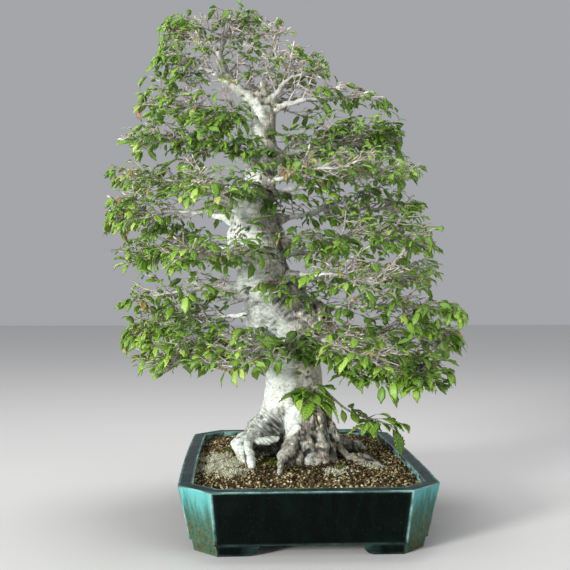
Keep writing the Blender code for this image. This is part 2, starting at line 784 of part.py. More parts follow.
def balls_along(points, radii, spacing=0.003):
    places, sizes = [], []
    for a, b, ra, rb in zip(points, points[1:], radii, radii[1:]):
        count = max(1, int((b - a).length / spacing))
        for i in range(count):
            places.append(a.lerp(b, i / count))
            sizes.append(ra + (rb - ra) * i / count)
    places.append(points[-1])
    sizes.append(radii[-1])
    return places, sizes


def is_free(room, owner, shape, matrix):
    """Whether a leafy twig keeps off the wood, the soil, the pot, other sprays, and its own spray's leaves."""
    mesh, guard, points = shape
    turned = np.array(matrix.to_3x3())
    places = points @ turned.T + np.array(matrix.translation)
    if places[:, 2].min() < SOIL_CLEAR:
        return False
    if not room.is_clear(places, owner, LEAF_CLEAR):
        return False
    own = placed_tree(guard, matrix, True)
    full = placed_tree(guard, matrix, False)
    for other_owner, other_centre, other_tree in room.leaves:
        if (matrix.translation - other_centre).length > 0.19:
            continue
        if (own if other_owner == owner else full).overlap(other_tree):
            return False
    return True


def twig_matrix(root, heading, droop, roll):
    """A leafy twig at root that points along heading in plan and hangs by droop degrees."""
    turn = math.atan2(heading.y, heading.x)
    return (
        Matrix.Translation(root)
        @ Matrix.Rotation(turn, 4, "Z")
        @ Matrix.Rotation(math.radians(droop), 4, "Y")
        @ Matrix.Rotation(math.radians(roll), 4, "X")
    )


def twig_sites(number, stem):
    """Where leafy twigs grow on a spray: root, heading, and whether it carries one leaf or three."""
    sites = []
    tip, along = point_on(stem, 1.0)
    level = Vector((along.x, along.y, 0)).normalized()
    sites.append((tip - along * STALK_SUNK, level, 3))
    for k, share in enumerate((0.74, 0.30)):
        root, _ = point_on(stem, share + 0.08 * (scatter(number, k, 2) - 0.5))
        side = 1 if (k + number) % 2 else -1
        turn = side * (50 + 14 * (scatter(number, k, 3) - 0.5))
        sites.append((root, Matrix.Rotation(math.radians(turn), 3, "Z") @ level, 3))
    root, _ = point_on(stem, 0.52 + 0.06 * (scatter(number, 7) - 0.5))
    turn = (52 if number % 2 else -52) + 14 * (scatter(number, 8) - 0.5)
    sites.append((root, Matrix.Rotation(math.radians(turn), 3, "Z") @ level, 1))
    return sites


def grow_twigs(name, owner, sites, shapes, room, home):
    """Sets a leafy twig at each site, in the first pose that keeps clear of what is there already."""
    placed = 0
    for k, (root, heading, leaves) in enumerate(sites):
        roll = 30 * (scatter(owner, k, 10) - 0.5)
        shape = shapes[leaves][(k + owner) % len(shapes[leaves])]
        for droop, swing, lean in TWIG_POSES:
            turned = Matrix.Rotation(math.radians(swing), 3, "Z") @ heading
            matrix = twig_matrix(root, turned, droop, roll + lean)
            if is_free(room, owner, shape, matrix):
                room.leaves.append((owner, matrix.translation.copy(), placed_tree(shape[0], matrix, False)))
                twig = add_object(f"{name}_twig_{k}", shape[0], home)
                twig.matrix_world = matrix
                placed += leaves
                break
    return placed


def make_trunk(limbs, stubs, soil_cutter, home, tools, bark):
    """The trunk with its roots, leader, swellings and bare limbs, cut to stand on the soil."""
    trunk = loft("trunk", [trunk_ring(*row) for row in TRUNK], home)
    leader = [Vector(row[:3]) for row in LEADER]
    tube("leader", leader, [row[3] for row in LEADER], tools, 7)
    for name, row in ROOTS.items():
        points, radii = root_path(*row)
        tube(f"root_{name}", points, radii, tools, 6)
    for number, (x, y, z, radius) in enumerate(BURLS):
        bm = bmesh.new()
        bmesh.ops.create_uvsphere(bm, u_segments=8, v_segments=6, radius=radius,
                                  matrix=Matrix.Translation((x, y, z)))
        mesh = bpy.data.meshes.new(f"burl_{number}")
        bm.to_mesh(mesh)
        bm.free()
        add_object(f"burl_{number}", mesh, tools)
    for name, (points, radii) in limbs.items():
        tube(f"limb_{name}", points, radii, tools, 5)
    for name, (points, radii) in stubs.items():
        tube(f"stub_{name}", points, radii, tools, 4)
    join_all(trunk, tools)
    boolean(trunk, "DIFFERENCE", soil_cutter, "MANIFOLD")
    bake(trunk)
    finish(trunk, bark, 50)
    return trunk


def wood_balls(limbs, stubs, room, owner):
    """Marks the trunk, the leader, the roots, the limbs, the soil and the pot's rim as taken."""
    for low, high in zip(TRUNK, TRUNK[1:]):
        for t in (0, 0.25, 0.5, 0.75):
            place = Vector([a + (b - a) * t for a, b in zip(low[:3], high[:3])])
            radius = low[3] + (high[3] - low[3]) * t
            room.take([Vector((place.y, place.z, place.x))], radius * 1.08, owner)
    for row in BURLS:
        room.take([Vector(row[:3])], row[3], owner)
    paths = [root_path(*row) for row in ROOTS.values()]
    paths.append(([Vector(row[:3]) for row in LEADER], [row[3] for row in LEADER]))
    paths += list(limbs.values()) + list(stubs.values())
    for points, radii in paths:
        room.take(*balls_along(points, radii), owner)


def make_spray(name, stem, sites, owner, shapes, room, home, tools, leaf_green):
    """One leafy spray: its stem and its leafy twigs, joined into one solid."""
    spray = tube(name, *stem, home, 4)
    grow_twigs(name, owner, sites, shapes, room, tools)
    join_all(spray, tools)
    finish(spray, leaf_green, 40)
    return spray


def shoot_sites(points, share):
    """A young shoot carries three leaves at its tip, three at one side and one at the other."""
    tip, along = point_on(points, 1.0)
    side_root, side_along = point_on(points, share)
    lone_root, lone_along = point_on(points, share - 0.28)
    return [
        (tip - along * STALK_SUNK, along, 3),
        (side_root, Matrix.Rotation(math.radians(52), 3, "Z") @ side_along, 3),
        (lone_root, Matrix.Rotation(math.radians(-58), 3, "Z") @ lone_along, 1),
    ]


def main():
    clear_scene()
    model = collection("beech_bonsai")
    tools = collection("cutters")
    glaze = material("glaze", (0.012, 0.055, 0.050), 0.18)
    bark = material("bark", (0.52, 0.50, 0.45), 0.75)
    earth = material("soil", (0.20, 0.13, 0.07), 0.95)
    leaf_green = material("leaf", (0.13, 0.30, 0.05), 0.50)
    plastic = material("screen_plastic", (0.02, 0.02, 0.02), 0.55)

    make_pot(model, tools, glaze)
    drop(list(tools.objects))
    make_screens(model, tools, plastic)
    soil = soil_solid("soil", 0.0, model)
    finish(soil, earth, 60)

    limbs, stems, stubs = {}, {}, {}
    for number, name in enumerate([*LIMBS, *CROWN_LIMBS]):
        bare, leafy = split_path(*limb_path(number, name), BARE_SHARE, SEAT)
        limbs[name] = thinned(bare, 2)
        stems[name] = thinned(shortened(leafy, STEM_SHARE), 1)
    shoots = {"low_shoot": LOW_SHOOT, "face_sprout": FACE_SPROUT}
    for name, rows in shoots.items():
        stub, rest = split_path([Vector(r[:3]) for r in rows], [r[3] for r in rows], STUB_SHARE, SEAT)
        stub[0][0] -= (stub[0][1] - stub[0][0]).normalized() * 0.010
        stubs[name] = stub
        stems[name] = rest

    cutter = soil_solid("soil_seat", SEAT, tools)
    tools.objects.unlink(cutter)
    room = Room()
    wood_balls(limbs, stubs, room, -1)
    make_trunk(limbs, stubs, cutter, model, tools, bark)
    drop([cutter])

    owners = {name: owner for owner, name in enumerate(stems)}
    for name, owner in owners.items():
        room.take(*balls_along(*stems[name]), owner)
    shapes = {3: make_twig_shapes(TWIG_SHAPES), 1: make_twig_shapes(LONE_SHAPES)}
    for name, owner in owners.items():
        points = stems[name][0]
        sites = shoot_sites(points, 0.55) if name in shoots else twig_sites(owner, points)
        make_spray(name, stems[name], sites, owner, shapes, room, model, tools, leaf_green)
    for mesh, guard, _ in shapes[3] + shapes[1]:
        bpy.data.meshes.remove(mesh)
        bpy.data.meshes.remove(guard)
    centre(model)


def centre(model):
    """Moves every piece level so that the bounding box of them all has its middle over the origin."""
    places = [v.co for obj in model.objects for v in obj.data.vertices]
    shift_x = -(min(p.x for p in places) + max(p.x for p in places)) / 2
    shift_y = -(min(p.y for p in places) + max(p.y for p in places)) / 2
    for obj in model.objects:
        obj.location = (shift_x, shift_y, 0)


main()
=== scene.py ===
# Japanese beech bonsai in a glazed pot with cut corners: its looks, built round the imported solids.
# The tree is laid out about the middle of the pot's footprint (metres, +Z up, shown from -Y),
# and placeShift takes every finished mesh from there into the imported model's frame.

import math
import random

import bmesh
import bpy
import numpy as np
from mathutils import Matrix, Vector, kdtree, noise


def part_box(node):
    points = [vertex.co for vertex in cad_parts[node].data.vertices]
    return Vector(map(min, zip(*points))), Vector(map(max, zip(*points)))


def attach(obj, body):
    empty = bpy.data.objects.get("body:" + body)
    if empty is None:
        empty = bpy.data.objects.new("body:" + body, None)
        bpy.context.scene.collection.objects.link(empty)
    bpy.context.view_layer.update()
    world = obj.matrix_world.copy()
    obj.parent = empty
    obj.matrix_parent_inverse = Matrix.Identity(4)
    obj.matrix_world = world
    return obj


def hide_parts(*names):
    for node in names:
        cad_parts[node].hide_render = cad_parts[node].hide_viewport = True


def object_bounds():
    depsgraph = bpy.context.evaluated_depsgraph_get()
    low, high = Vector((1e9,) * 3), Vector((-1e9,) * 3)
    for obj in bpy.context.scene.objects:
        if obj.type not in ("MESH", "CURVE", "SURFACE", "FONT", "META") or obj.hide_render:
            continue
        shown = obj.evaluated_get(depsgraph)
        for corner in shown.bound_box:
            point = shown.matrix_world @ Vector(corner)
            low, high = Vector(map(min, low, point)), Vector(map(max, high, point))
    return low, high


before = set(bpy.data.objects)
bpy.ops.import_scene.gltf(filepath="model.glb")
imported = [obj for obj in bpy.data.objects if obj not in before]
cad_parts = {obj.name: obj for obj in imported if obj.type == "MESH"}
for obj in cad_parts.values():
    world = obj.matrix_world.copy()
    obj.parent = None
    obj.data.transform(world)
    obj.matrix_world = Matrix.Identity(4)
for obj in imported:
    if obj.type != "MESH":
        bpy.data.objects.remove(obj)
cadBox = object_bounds()
potLow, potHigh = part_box("pot")
placeShift = Vector(((potLow[0] + potHigh[0]) / 2, (potLow[1] + potHigh[1]) / 2, 0.0))
boxLow, boxHigh = (Vector(corner) - placeShift for corner in cadBox)
home = bpy.context.scene.collection
print("frame loaded, pot middle at", [round(v, 5) for v in placeShift])


# Helpers for meshes

def metres(rows, lengths=None):
    # Tables are in millimetres; where a count is given, only a row's first so many numbers are lengths
    return [(*(round(v * 10) / 10000 for v in row[:lengths]), *(row[lengths:] if lengths else ())) for row in rows]


def addPiece(name, data):
    piece = bpy.data.objects.new(name, data)
    home.objects.link(piece)
    return piece


def meshOfBm(name, bm):
    mesh = bpy.data.meshes.new(name)
    bm.to_mesh(mesh)
    bm.free()
    return mesh


def closedMesh(name, bm):
    bmesh.ops.recalc_face_normals(bm, faces=bm.faces)
    return meshOfBm(name, bm)


def shelfOf(name, meshes):
    # Shapes to be set by Geometry Nodes, kept outside the scene
    shelf = bpy.data.collections.new(name)
    for number, mesh in enumerate(meshes):
        shelf.objects.link(bpy.data.objects.new(f"{name}{number}", mesh))
    return shelf


def bmOfPiece(piece):
    bm = bmesh.new()
    bm.from_mesh(piece.data)
    return bm


def bakeModifiers(piece):
    graph = bpy.context.evaluated_depsgraph_get()
    graph.update()
    mesh = bpy.data.meshes.new_from_object(piece.evaluated_get(graph))
    piece.modifiers.clear()
    piece.data = mesh


def addModifier(piece, kind, **settings):
    modifier = piece.modifiers.new(kind.lower(), kind)
    for key, value in settings.items():
        setattr(modifier, key, value)
    return modifier


def readVectors(data, field):
    flat = np.empty(len(data) * 3, np.float32)
    data.foreach_get(field, flat)
    return flat.reshape(-1, 3).astype(float)


def coordsOf(mesh):
    return readVectors(mesh.vertices, "co")


def normalsOf(mesh):
    return readVectors(mesh.vertex_normals, "vector")


def setCoords(mesh, coords):
    mesh.vertices.foreach_set("co", np.asarray(coords, np.float32).ravel())
    mesh.update()


def setData(mesh, name, values, kind="FLOAT"):
    layer = mesh.attributes.new(name, kind, "POINT")
    dtype = np.int32 if kind == "INT" else np.float32
    layer.data.foreach_set("vector" if kind == "FLOAT_VECTOR" else "value", np.asarray(values, dtype).ravel())


def finishPiece(piece, node):
    setCoords(piece.data, coordsOf(piece.data) + np.array(placeShift))
    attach(piece, "root")
    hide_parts(node)


def triangleCount(piece):
    return sum(len(face.vertices) - 2 for face in piece.data.polygons)


def around(angle):
    return Vector((math.cos(angle), math.sin(angle), 0))


def smoothStep(low, high, value):
    t = np.clip((value - low) / (high - low), 0.0, 1.0)
    return t * t * (3 - 2 * t)


def noiseAt(places, scale, seed=0.0):
    # Perlin noise for many places; scale is a number or one number for each axis
    return np.array([noise.noise(Vector(p)) for p in places * np.asarray(scale, float) + seed])


def curveThrough(points, count):
    padded = [2 * points[0] - points[1], *points, 2 * points[-1] - points[-2]]
    spans = len(points) - 1
    made = []
    for step in range(count):
        place = spans * step / (count - 1)
        span = min(int(place), spans - 1)
        t = place - span
        a, b, c, d = padded[span:span + 4]
        made.append(0.5 * (2 * b + (c - a) * t + (2 * a - 5 * b + 4 * c - d) * t * t
                           + (3 * b - a - 3 * c + d) * t * t * t))
    return made


def courseThrough(rows, count):
    # Rows of x, y, z, radius, drawn finely
    return (curveThrough([Vector(row[:3]) for row in rows], count),
            [v.x for v in curveThrough([Vector((row[3], 0, 0)) for row in rows], count)])


def loftRings(bm, rings):
    # Skins rings of equally many points and caps both ends
    rows = [[bm.verts.new(p) for p in ring] for ring in rings]
    count = len(rings[0])
    for low, high in zip(rows, rows[1:]):
        for i in range(count):
            j = (i + 1) % count
            bm.faces.new((low[i], low[j], high[j], high[i]))
    bm.faces.new(list(reversed(rows[0])))
    bm.faces.new(rows[-1])


def addTube(bm, points, radii, sides):
    # Rings square to a path, turned as little as possible from one to the next
    rings = []
    side = None
    for i, (point, radius) in enumerate(zip(points, radii)):
        along = (points[min(i + 1, len(points) - 1)] - points[max(i - 1, 0)]).normalized()
        if side is None:
            side = along.orthogonal().normalized()
        side = (side - along * side.dot(along)).normalized()
        across = along.cross(side)
        turns = [2 * math.pi * step / sides for step in range(sides)]
        rings.append([point + (side * math.cos(turn) + across * math.sin(turn)) * radius for turn in turns])
    loftRings(bm, rings)


# Helpers for materials and Geometry Nodes

def socketOf(sockets, key):
    # By identifier first, because several sockets of one node can share a name
    return next((socket for socket in sockets if socket.identifier == key), None) or sockets[key]


class Nodes:
    # A node tree under work; each add makes a node and gives back the output that is asked for
    def __init__(self, tree):
        self.tree = tree

    def feed(self, socket, value):
        if isinstance(value, bpy.types.NodeSocket):
            self.tree.links.new(value, socket)
        else:
            socket.default_value = (*value, 1.0) if socket.type == "RGBA" else value

    def add(self, kind, output, inputs=None, **settings):
        node = self.tree.nodes.new(kind)
        for key, value in settings.items():
            setattr(node, key, value)
        for key, value in (inputs or {}).items():
            self.feed(socketOf(node.inputs, key), value)
        return socketOf(node.outputs, output)


class Paint(Nodes):
    # A material under work, with short calls for what its colours are mixed from
    def __init__(self, name):
        self.material = bpy.data.materials.new(name)
        self.material.use_nodes = True
        super().__init__(self.material.node_tree)

    def value(self, name):
        return self.add("ShaderNodeAttribute", "Fac", attribute_name=name)

    def place(self):
        return self.add("ShaderNodeTexCoord", "Object")

    def height(self):
        return self.add("ShaderNodeSeparateXYZ", "Z", {"Vector": self.place()})

    def span(self, value, low, high, toLow=0.0, toHigh=1.0):
        return self.add("ShaderNodeMapRange", "Result", {"Value": value, "From Min": low, "From Max": high,
                                                         "To Min": toLow, "To Max": toHigh})

    def stretched(self, scale):
        return self.add("ShaderNodeMapping", "Vector", {"Vector": self.place(), "Scale": scale})

    def noise(self, scale, detail=4.0, rough=0.55, stretch=(1, 1, 1), warp=0.0):
        return self.add("ShaderNodeTexNoise", "Fac", {"Vector": self.stretched(stretch), "Scale": scale,
                                                      "Detail": detail, "Roughness": rough, "Distortion": warp})

    def cells(self, output, scale, stretch):
        return self.add("ShaderNodeTexVoronoi", output, {"Vector": self.stretched(stretch), "Scale": scale})

    def ramp(self, value, *stops):
        # A stop is a place and a colour, and a colour of one number is a grey
        made = self.add("ShaderNodeValToRGB", "Color", {"Fac": value})
        points = made.node.color_ramp.elements
        while len(points) < len(stops):
            points.new(0.5)
        for point, (place, colour) in zip(points, stops):
            point.position = place
            point.color = (*colour, 1.0) if isinstance(colour, tuple) else (colour, colour, colour, 1.0)
        return made

    def cloud(self, settings, *stops):
        return self.ramp(self.noise(*settings), *stops)

    def mix(self, share, first, second, blend="MIX"):
        return self.add("ShaderNodeMix", "Result_Color", {"Factor_Float": share, "A_Color": first,
                                                          "B_Color": second}, data_type="RGBA", blend_type=blend)

    def shade(self, share, colour, factor):
        return self.mix(share, colour, factor, "MULTIPLY")

    def calc(self, operation, first, second=0.0):
        return self.add("ShaderNodeMath", "Value", {"Value": first, "Value_001": second}, operation=operation)

    def times(self, first, second):
        return self.calc("MULTIPLY", first, second)

    def finish(self, colour, roughness, bump=None, fixed=None):
        # bump is a height, its strength and its distance; fixed holds the shader's other values
        inputs = self.tree.nodes["Principled BSDF"].inputs
        self.feed(inputs["Base Color"], colour)
        self.feed(inputs["Roughness"], roughness)
        for label, value in (fixed or {}).items():
            inputs[label].default_value = value
        if bump:
            bump = self.add("ShaderNodeBump", "Normal", dict(zip(("Height", "Strength", "Distance"), bump)))
            self.feed(inputs["Normal"], bump)
        return self.material


class Growth(Nodes):
    # A Geometry Nodes tree under work, with its named inputs
    def __init__(self, name, inputs):
        super().__init__(bpy.data.node_groups.new(name, "GeometryNodeTree"))
        sockets = [("Geometry", "INPUT", "Geometry"), ("Geometry", "OUTPUT", "Geometry")]
        sockets += [(label, "INPUT", kind) for label, kind in inputs.items()]
        for label, way, kind in sockets:
            self.tree.interface.new_socket(label, in_out=way, socket_type="NodeSocket" + kind)
        self.given = self.tree.nodes.new("NodeGroupInput").outputs
        self.result = self.tree.nodes.new("NodeGroupOutput").inputs["Geometry"]

    def named(self, label, kind="FLOAT"):
        return self.add("GeometryNodeInputNamedAttribute", "Attribute", {"Name": label}, data_type=kind)

    def drawn(self, kind, output, inputs):
        return self.add("FunctionNodeRandomValue", output, inputs, data_type=kind)

    def stand(self, points, selection, shapes, index, turn, size):
        # A shelf's shapes on points, each with its own turn and size
        shelf = self.add("GeometryNodeCollectionInfo", "Instances", {
            "Collection": self.given[shapes], "Separate Children": True, "Reset Children": True})
        turn = self.add("FunctionNodeEulerToRotation", "Rotation", {"Euler": turn})
        return self.add("GeometryNodeInstanceOnPoints", "Instances", {
            "Points": points, "Selection": selection, "Instance": shelf, "Pick Instance": True,
            "Instance Index": index, "Rotation": turn, "Scale": size})

    def real(self, instances, finish):
        made = self.add("GeometryNodeRealizeInstances", "Geometry", {"Geometry": instances})
        return self.painted(made, finish)

    def painted(self, geometry, finish):
        return self.add("GeometryNodeSetMaterial", "Geometry", {"Geometry": geometry, "Material": self.given[finish]})

    def run(self, piece, values):
        modifier = piece.modifiers.new(self.tree.name, "NODES")
        modifier.node_group = self.tree
        for item in self.tree.interface.items_tree:
            if item.in_out == "INPUT" and item.name in values:
                modifier[item.identifier] = values[item.name]
        bakeModifiers(piece)


# Camera, light and floor

viewSpec = {
    "cameraPlace": (-0.0655, -1.336, 0.340),
    "cameraTurn": (math.pi / 2 + 0.011, 0.0, -0.051),
    "lens": 53.68,
    "floorSize": 8.0,
    "floorTone": (0.80, 0.79, 0.77),
    "worldTone": (0.93, 0.95, 1.0),
    "worldStrength": 0.40,
    "lights": (
        # name, place, aimed at, size, watts
        ("keyLight", (-3.04, -2.88, 1.02), (0.0, 0.0, 0.34), 0.9, 222.0),
        ("fillLight", (2.4, -2.4, 1.2), (0.0, 0.0, 0.30), 2.4, 17.0),
        ("topLight", (0.1, 0.3, 2.2), (0.0, 0.0, 0.40), 1.2, 16.0),
    ),
}


def makeView(spec):
    camera = addPiece("camera", bpy.data.cameras.new("camera"))
    camera.data.lens = spec["lens"]
    camera.data.sensor_width = 36.0
    camera.data.clip_start = 0.05
    camera.location = spec["cameraPlace"]
    camera.rotation_euler = spec["cameraTurn"]
    bpy.context.scene.camera = camera

    world = bpy.data.worlds.new("studio")
    world.use_nodes = True
    backdrop = world.node_tree.nodes["Background"]
    backdrop.inputs["Color"].default_value = (*spec["worldTone"], 1.0)
    backdrop.inputs["Strength"].default_value = spec["worldStrength"]
    bpy.context.scene.world = world
    bpy.context.scene.view_settings.view_transform = "Standard"

    for name, place, target, size, watts in spec["lights"]:
        light = addPiece(name, bpy.data.lights.new(name, "AREA"))
        light.data.shape = "DISK"
        light.data.size = size
        light.data.energy = watts
        light.location = place
        light.visible_camera = False
        light.rotation_euler = (Vector(target) - Vector(place)).to_track_quat("-Z", "Y").to_euler()

    bm = bmesh.new()
    bmesh.ops.create_grid(bm, x_segments=2, y_segments=2, size=spec["floorSize"])
    floor = addPiece("studioFloor", meshOfBm("studioFloor", bm))
    floor.data.materials.append(Paint("paleFloor").finish(spec["floorTone"], 0.7))


makeView(viewSpec)
print("camera, lights and floor ready")


# Pot

potSpec = {
    "width": 0.350,
    "length": 0.500,
    "height": 0.088,
    "cornerCut": 0.044,
    "sideBow": 0.003,
    "wallSlope": 0.018 / 0.088,
    "rimWidth": 0.020,
    "rimEdge": 0.0036,
    "lipDepth": 0.009,
    "lipFillet": 0.004,
    "wall": 0.011,
    "floor": 0.011,
    "wallLevels": (0.045, 0.065),
    "edgeLoop": 0.0035,
    "footHeight": 0.015,
    "footStep": 0.003,
    "footThickness": 0.016,
    "footRun": 0.036,
    "drainRadius": 0.017,
    "drainOffset": 0.120,
    "sharpAngle": math.radians(25),
    "edgeRound": 0.0013,
    "roundSteps": 3,
    "cellSize": 0.026,
    "handUneven": 0.00035,
    "edgeLineWidth": 0.0016,
    "edgeLineStep": 0.0012,
    "cornerSteps": (0.0032, 0.0075),
}


def potOutline(inset, height, longSteps, close=False):
    spec = potSpec
    halfX = spec["width"] / 2 - inset
    halfY = spec["length"] / 2 - inset
    cut = spec["cornerCut"] - inset * (2 - math.sqrt(2))
    straight = halfY - cut
    right = []
    for step in range(longSteps + 1):
        y = straight * (2 * step / longSteps - 1)
        right.append((halfX + spec["sideBow"] * (1 - (y / straight) ** 2), y))
    left = [(-x, -y) for x, y in right]
    front = [(cut - halfX, -halfY), (halfX - cut, -halfY)]
    back = [(halfX - cut, halfY), (cut - halfX, halfY)]
    outline = [Vector((x, y, height)) for x, y in front + right + back + left]
    if not close:
        return outline
    # More points close to the corners, so that the glaze break and its painted highlight can sit there in a narrow line
    made = []
    for number, point in enumerate(outline):
        ahead = outline[(number + 1) % len(outline)]
        steps = [gap / (ahead - point).length for gap in spec["cornerSteps"]]
        made += [point] + [point.lerp(ahead, share) for share in steps]
        made += [ahead.lerp(point, share) for share in reversed(steps)]
    return made


def wallInset(height):
    return (potSpec["height"] - height) * potSpec["wallSlope"]


def footGapRings(halfSpan, depth, turned):
    # The arch between two feet, as a cutter along Y, or along X when turned
    tall = potSpec["footHeight"]
    corner = []
    for step in range(8):
        angle = math.pi / 2 * step / 7
        corner.append((halfSpan - tall * 1.1 * math.sin(angle), tall * (1 - math.cos(angle))))
    profile = list(reversed(corner)) + [(halfSpan, -tall)]
    outline = [(-x, z) for x, z in reversed(profile)] + profile
    rings = [[Vector((x, side * depth, z)) for x, z in outline] for side in (-1, 1)]
    return [[Vector((-p.y, p.x, p.z)) if turned else p for p in ring] for ring in rings]


def makePot(spec, glaze):
    top, tall, rim, edgeLoop = spec["height"], spec["footHeight"], spec["rimWidth"], spec["edgeLoop"]
    footOut = wallInset(0) + spec["footStep"]
    lipFoot = top - spec["lipDepth"]
    floor = tall + spec["floor"]
    levels = [(wallInset(height) + spec["footStep"], height) for height in (0, 0.004, tall - edgeLoop, tall)]
    levels += [(wallInset(height), height) for height in (tall, tall + edgeLoop, tall + 0.008, *spec["wallLevels"],
                                                          top - 0.008, top - edgeLoop)]
    levels += [(0.0, top), (spec["rimEdge"], top), (rim - spec["rimEdge"], top), (rim, top), (rim, lipFoot),
               (spec["wall"] + wallInset(lipFoot), lipFoot - spec["lipFillet"]),
               (spec["wall"] + wallInset(floor), floor)]
    bm = bmesh.new()
    loftRings(bm, [potOutline(inset, height, 10, True) for inset, height in levels])
    pot = addPiece("potGlazed", closedMesh("potGlazed", bm))

    # Cutters: under the floor between the feet, the arches between the feet, and the drain holes
    recessIn = footOut + spec["footThickness"]
    across, along = (spec[side] / 2 - footOut - spec["cornerCut"] + 0.01 - spec["footRun"]
                     for side in ("width", "length"))
    shapes = [
        [potOutline(recessIn, height, 14) for height in (-tall, tall)],
        footGapRings(across, spec["length"], False),
        footGapRings(along, spec["width"], True),
    ]
    radius = spec["drainRadius"]
    for side in (-1, 1):
        shapes.append([[Vector((radius * math.cos(math.pi * k / 20),
                                side * spec["drainOffset"] + radius * math.sin(math.pi * k / 20), height))
                        for k in range(40)] for height in (-0.02, floor + 0.02)])
    cutters = []
    for number, rings in enumerate(shapes):
        bm = bmesh.new()
        loftRings(bm, rings)
        cutters.append(addPiece(f"potCutter{number}", closedMesh(f"potCutter{number}", bm)))
        addModifier(pot, "BOOLEAN", operation="DIFFERENCE", solver="EXACT", object=cutters[-1])
    bakeModifiers(pot)
    for cutter in cutters:
        bpy.data.objects.remove(cutter, do_unlink=True)

    # Lines along the sharp edges, where the glaze breaks and a highlight is painted, taken before the edges are rounded
    bm = bmOfPiece(pot)
    bmesh.ops.remove_doubles(bm, verts=bm.verts, dist=1e-5)
    marks = []
    for edge in bm.edges:
        if len(edge.link_faces) == 2 and edge.calc_face_angle(0.0) > spec["sharpAngle"]:
            a, b = edge.verts[0].co, edge.verts[1].co
            steps = max(1, int((b - a).length / spec["edgeLineStep"]))
            marks += [a.lerp(b, k / steps) for k in range(steps + 1)]
    bm.to_mesh(pot.data)
    bm.free()
    nearest = kdtree.KDTree(len(marks))
    for number, mark in enumerate(marks):
        nearest.insert(mark, number)
    nearest.balance()

    addModifier(pot, "BEVEL", width=spec["edgeRound"], segments=spec["roundSteps"], limit_method="ANGLE",
                angle_limit=spec["sharpAngle"], use_clamp_overlap=True)
    bakeModifiers(pot)
    bm = bmOfPiece(pot)
    bmesh.ops.triangulate(bm, faces=bm.faces)
    for _ in range(7):
        long = [edge for edge in bm.edges if edge.calc_length() > spec["cellSize"]]
        if not long:
            break
        bmesh.ops.subdivide_edges(bm, edges=long, cuts=1)
        bmesh.ops.triangulate(bm, faces=bm.faces)
    mesh = pot.data
    bm.to_mesh(mesh)
    bm.free()
    mesh.shade_smooth()
    coords, normals = coordsOf(mesh), normalsOf(mesh)
    x, y, z = coords.T
    normalX, normalY, normalZ = normals.T
    gaps = np.array([nearest.find(Vector(p))[2] for p in coords])
    edge = np.exp(-(gaps / spec["edgeLineWidth"]) ** 2)
    setData(mesh, "edgeBreakAndHighlight", edge * (0.10 + 0.90 * smoothStep(0.0, 0.006, z - tall)))
    corner = smoothStep(0.35, 0.62, np.minimum(np.abs(normalX), np.abs(normalY)))
    setData(mesh, "cornerFace", corner * ((normalX * x + normalY * y) > 0))
    # Upward faces of the rim, where a sheen is painted
    setData(mesh, "rimPaintedSheen", smoothStep(0.80, 0.97, normalZ) * (z > top - 0.003))
    uneven = noiseAt(coords, 22.0, 3.1) * spec["handUneven"]
    setCoords(mesh, coords + normals * (uneven * (z > 0.004))[:, None])
    mesh.materials.clear()
    mesh.materials.append(glaze)
    finishPiece(pot, "pot")
    print("pot:", len(mesh.polygons), "triangles")


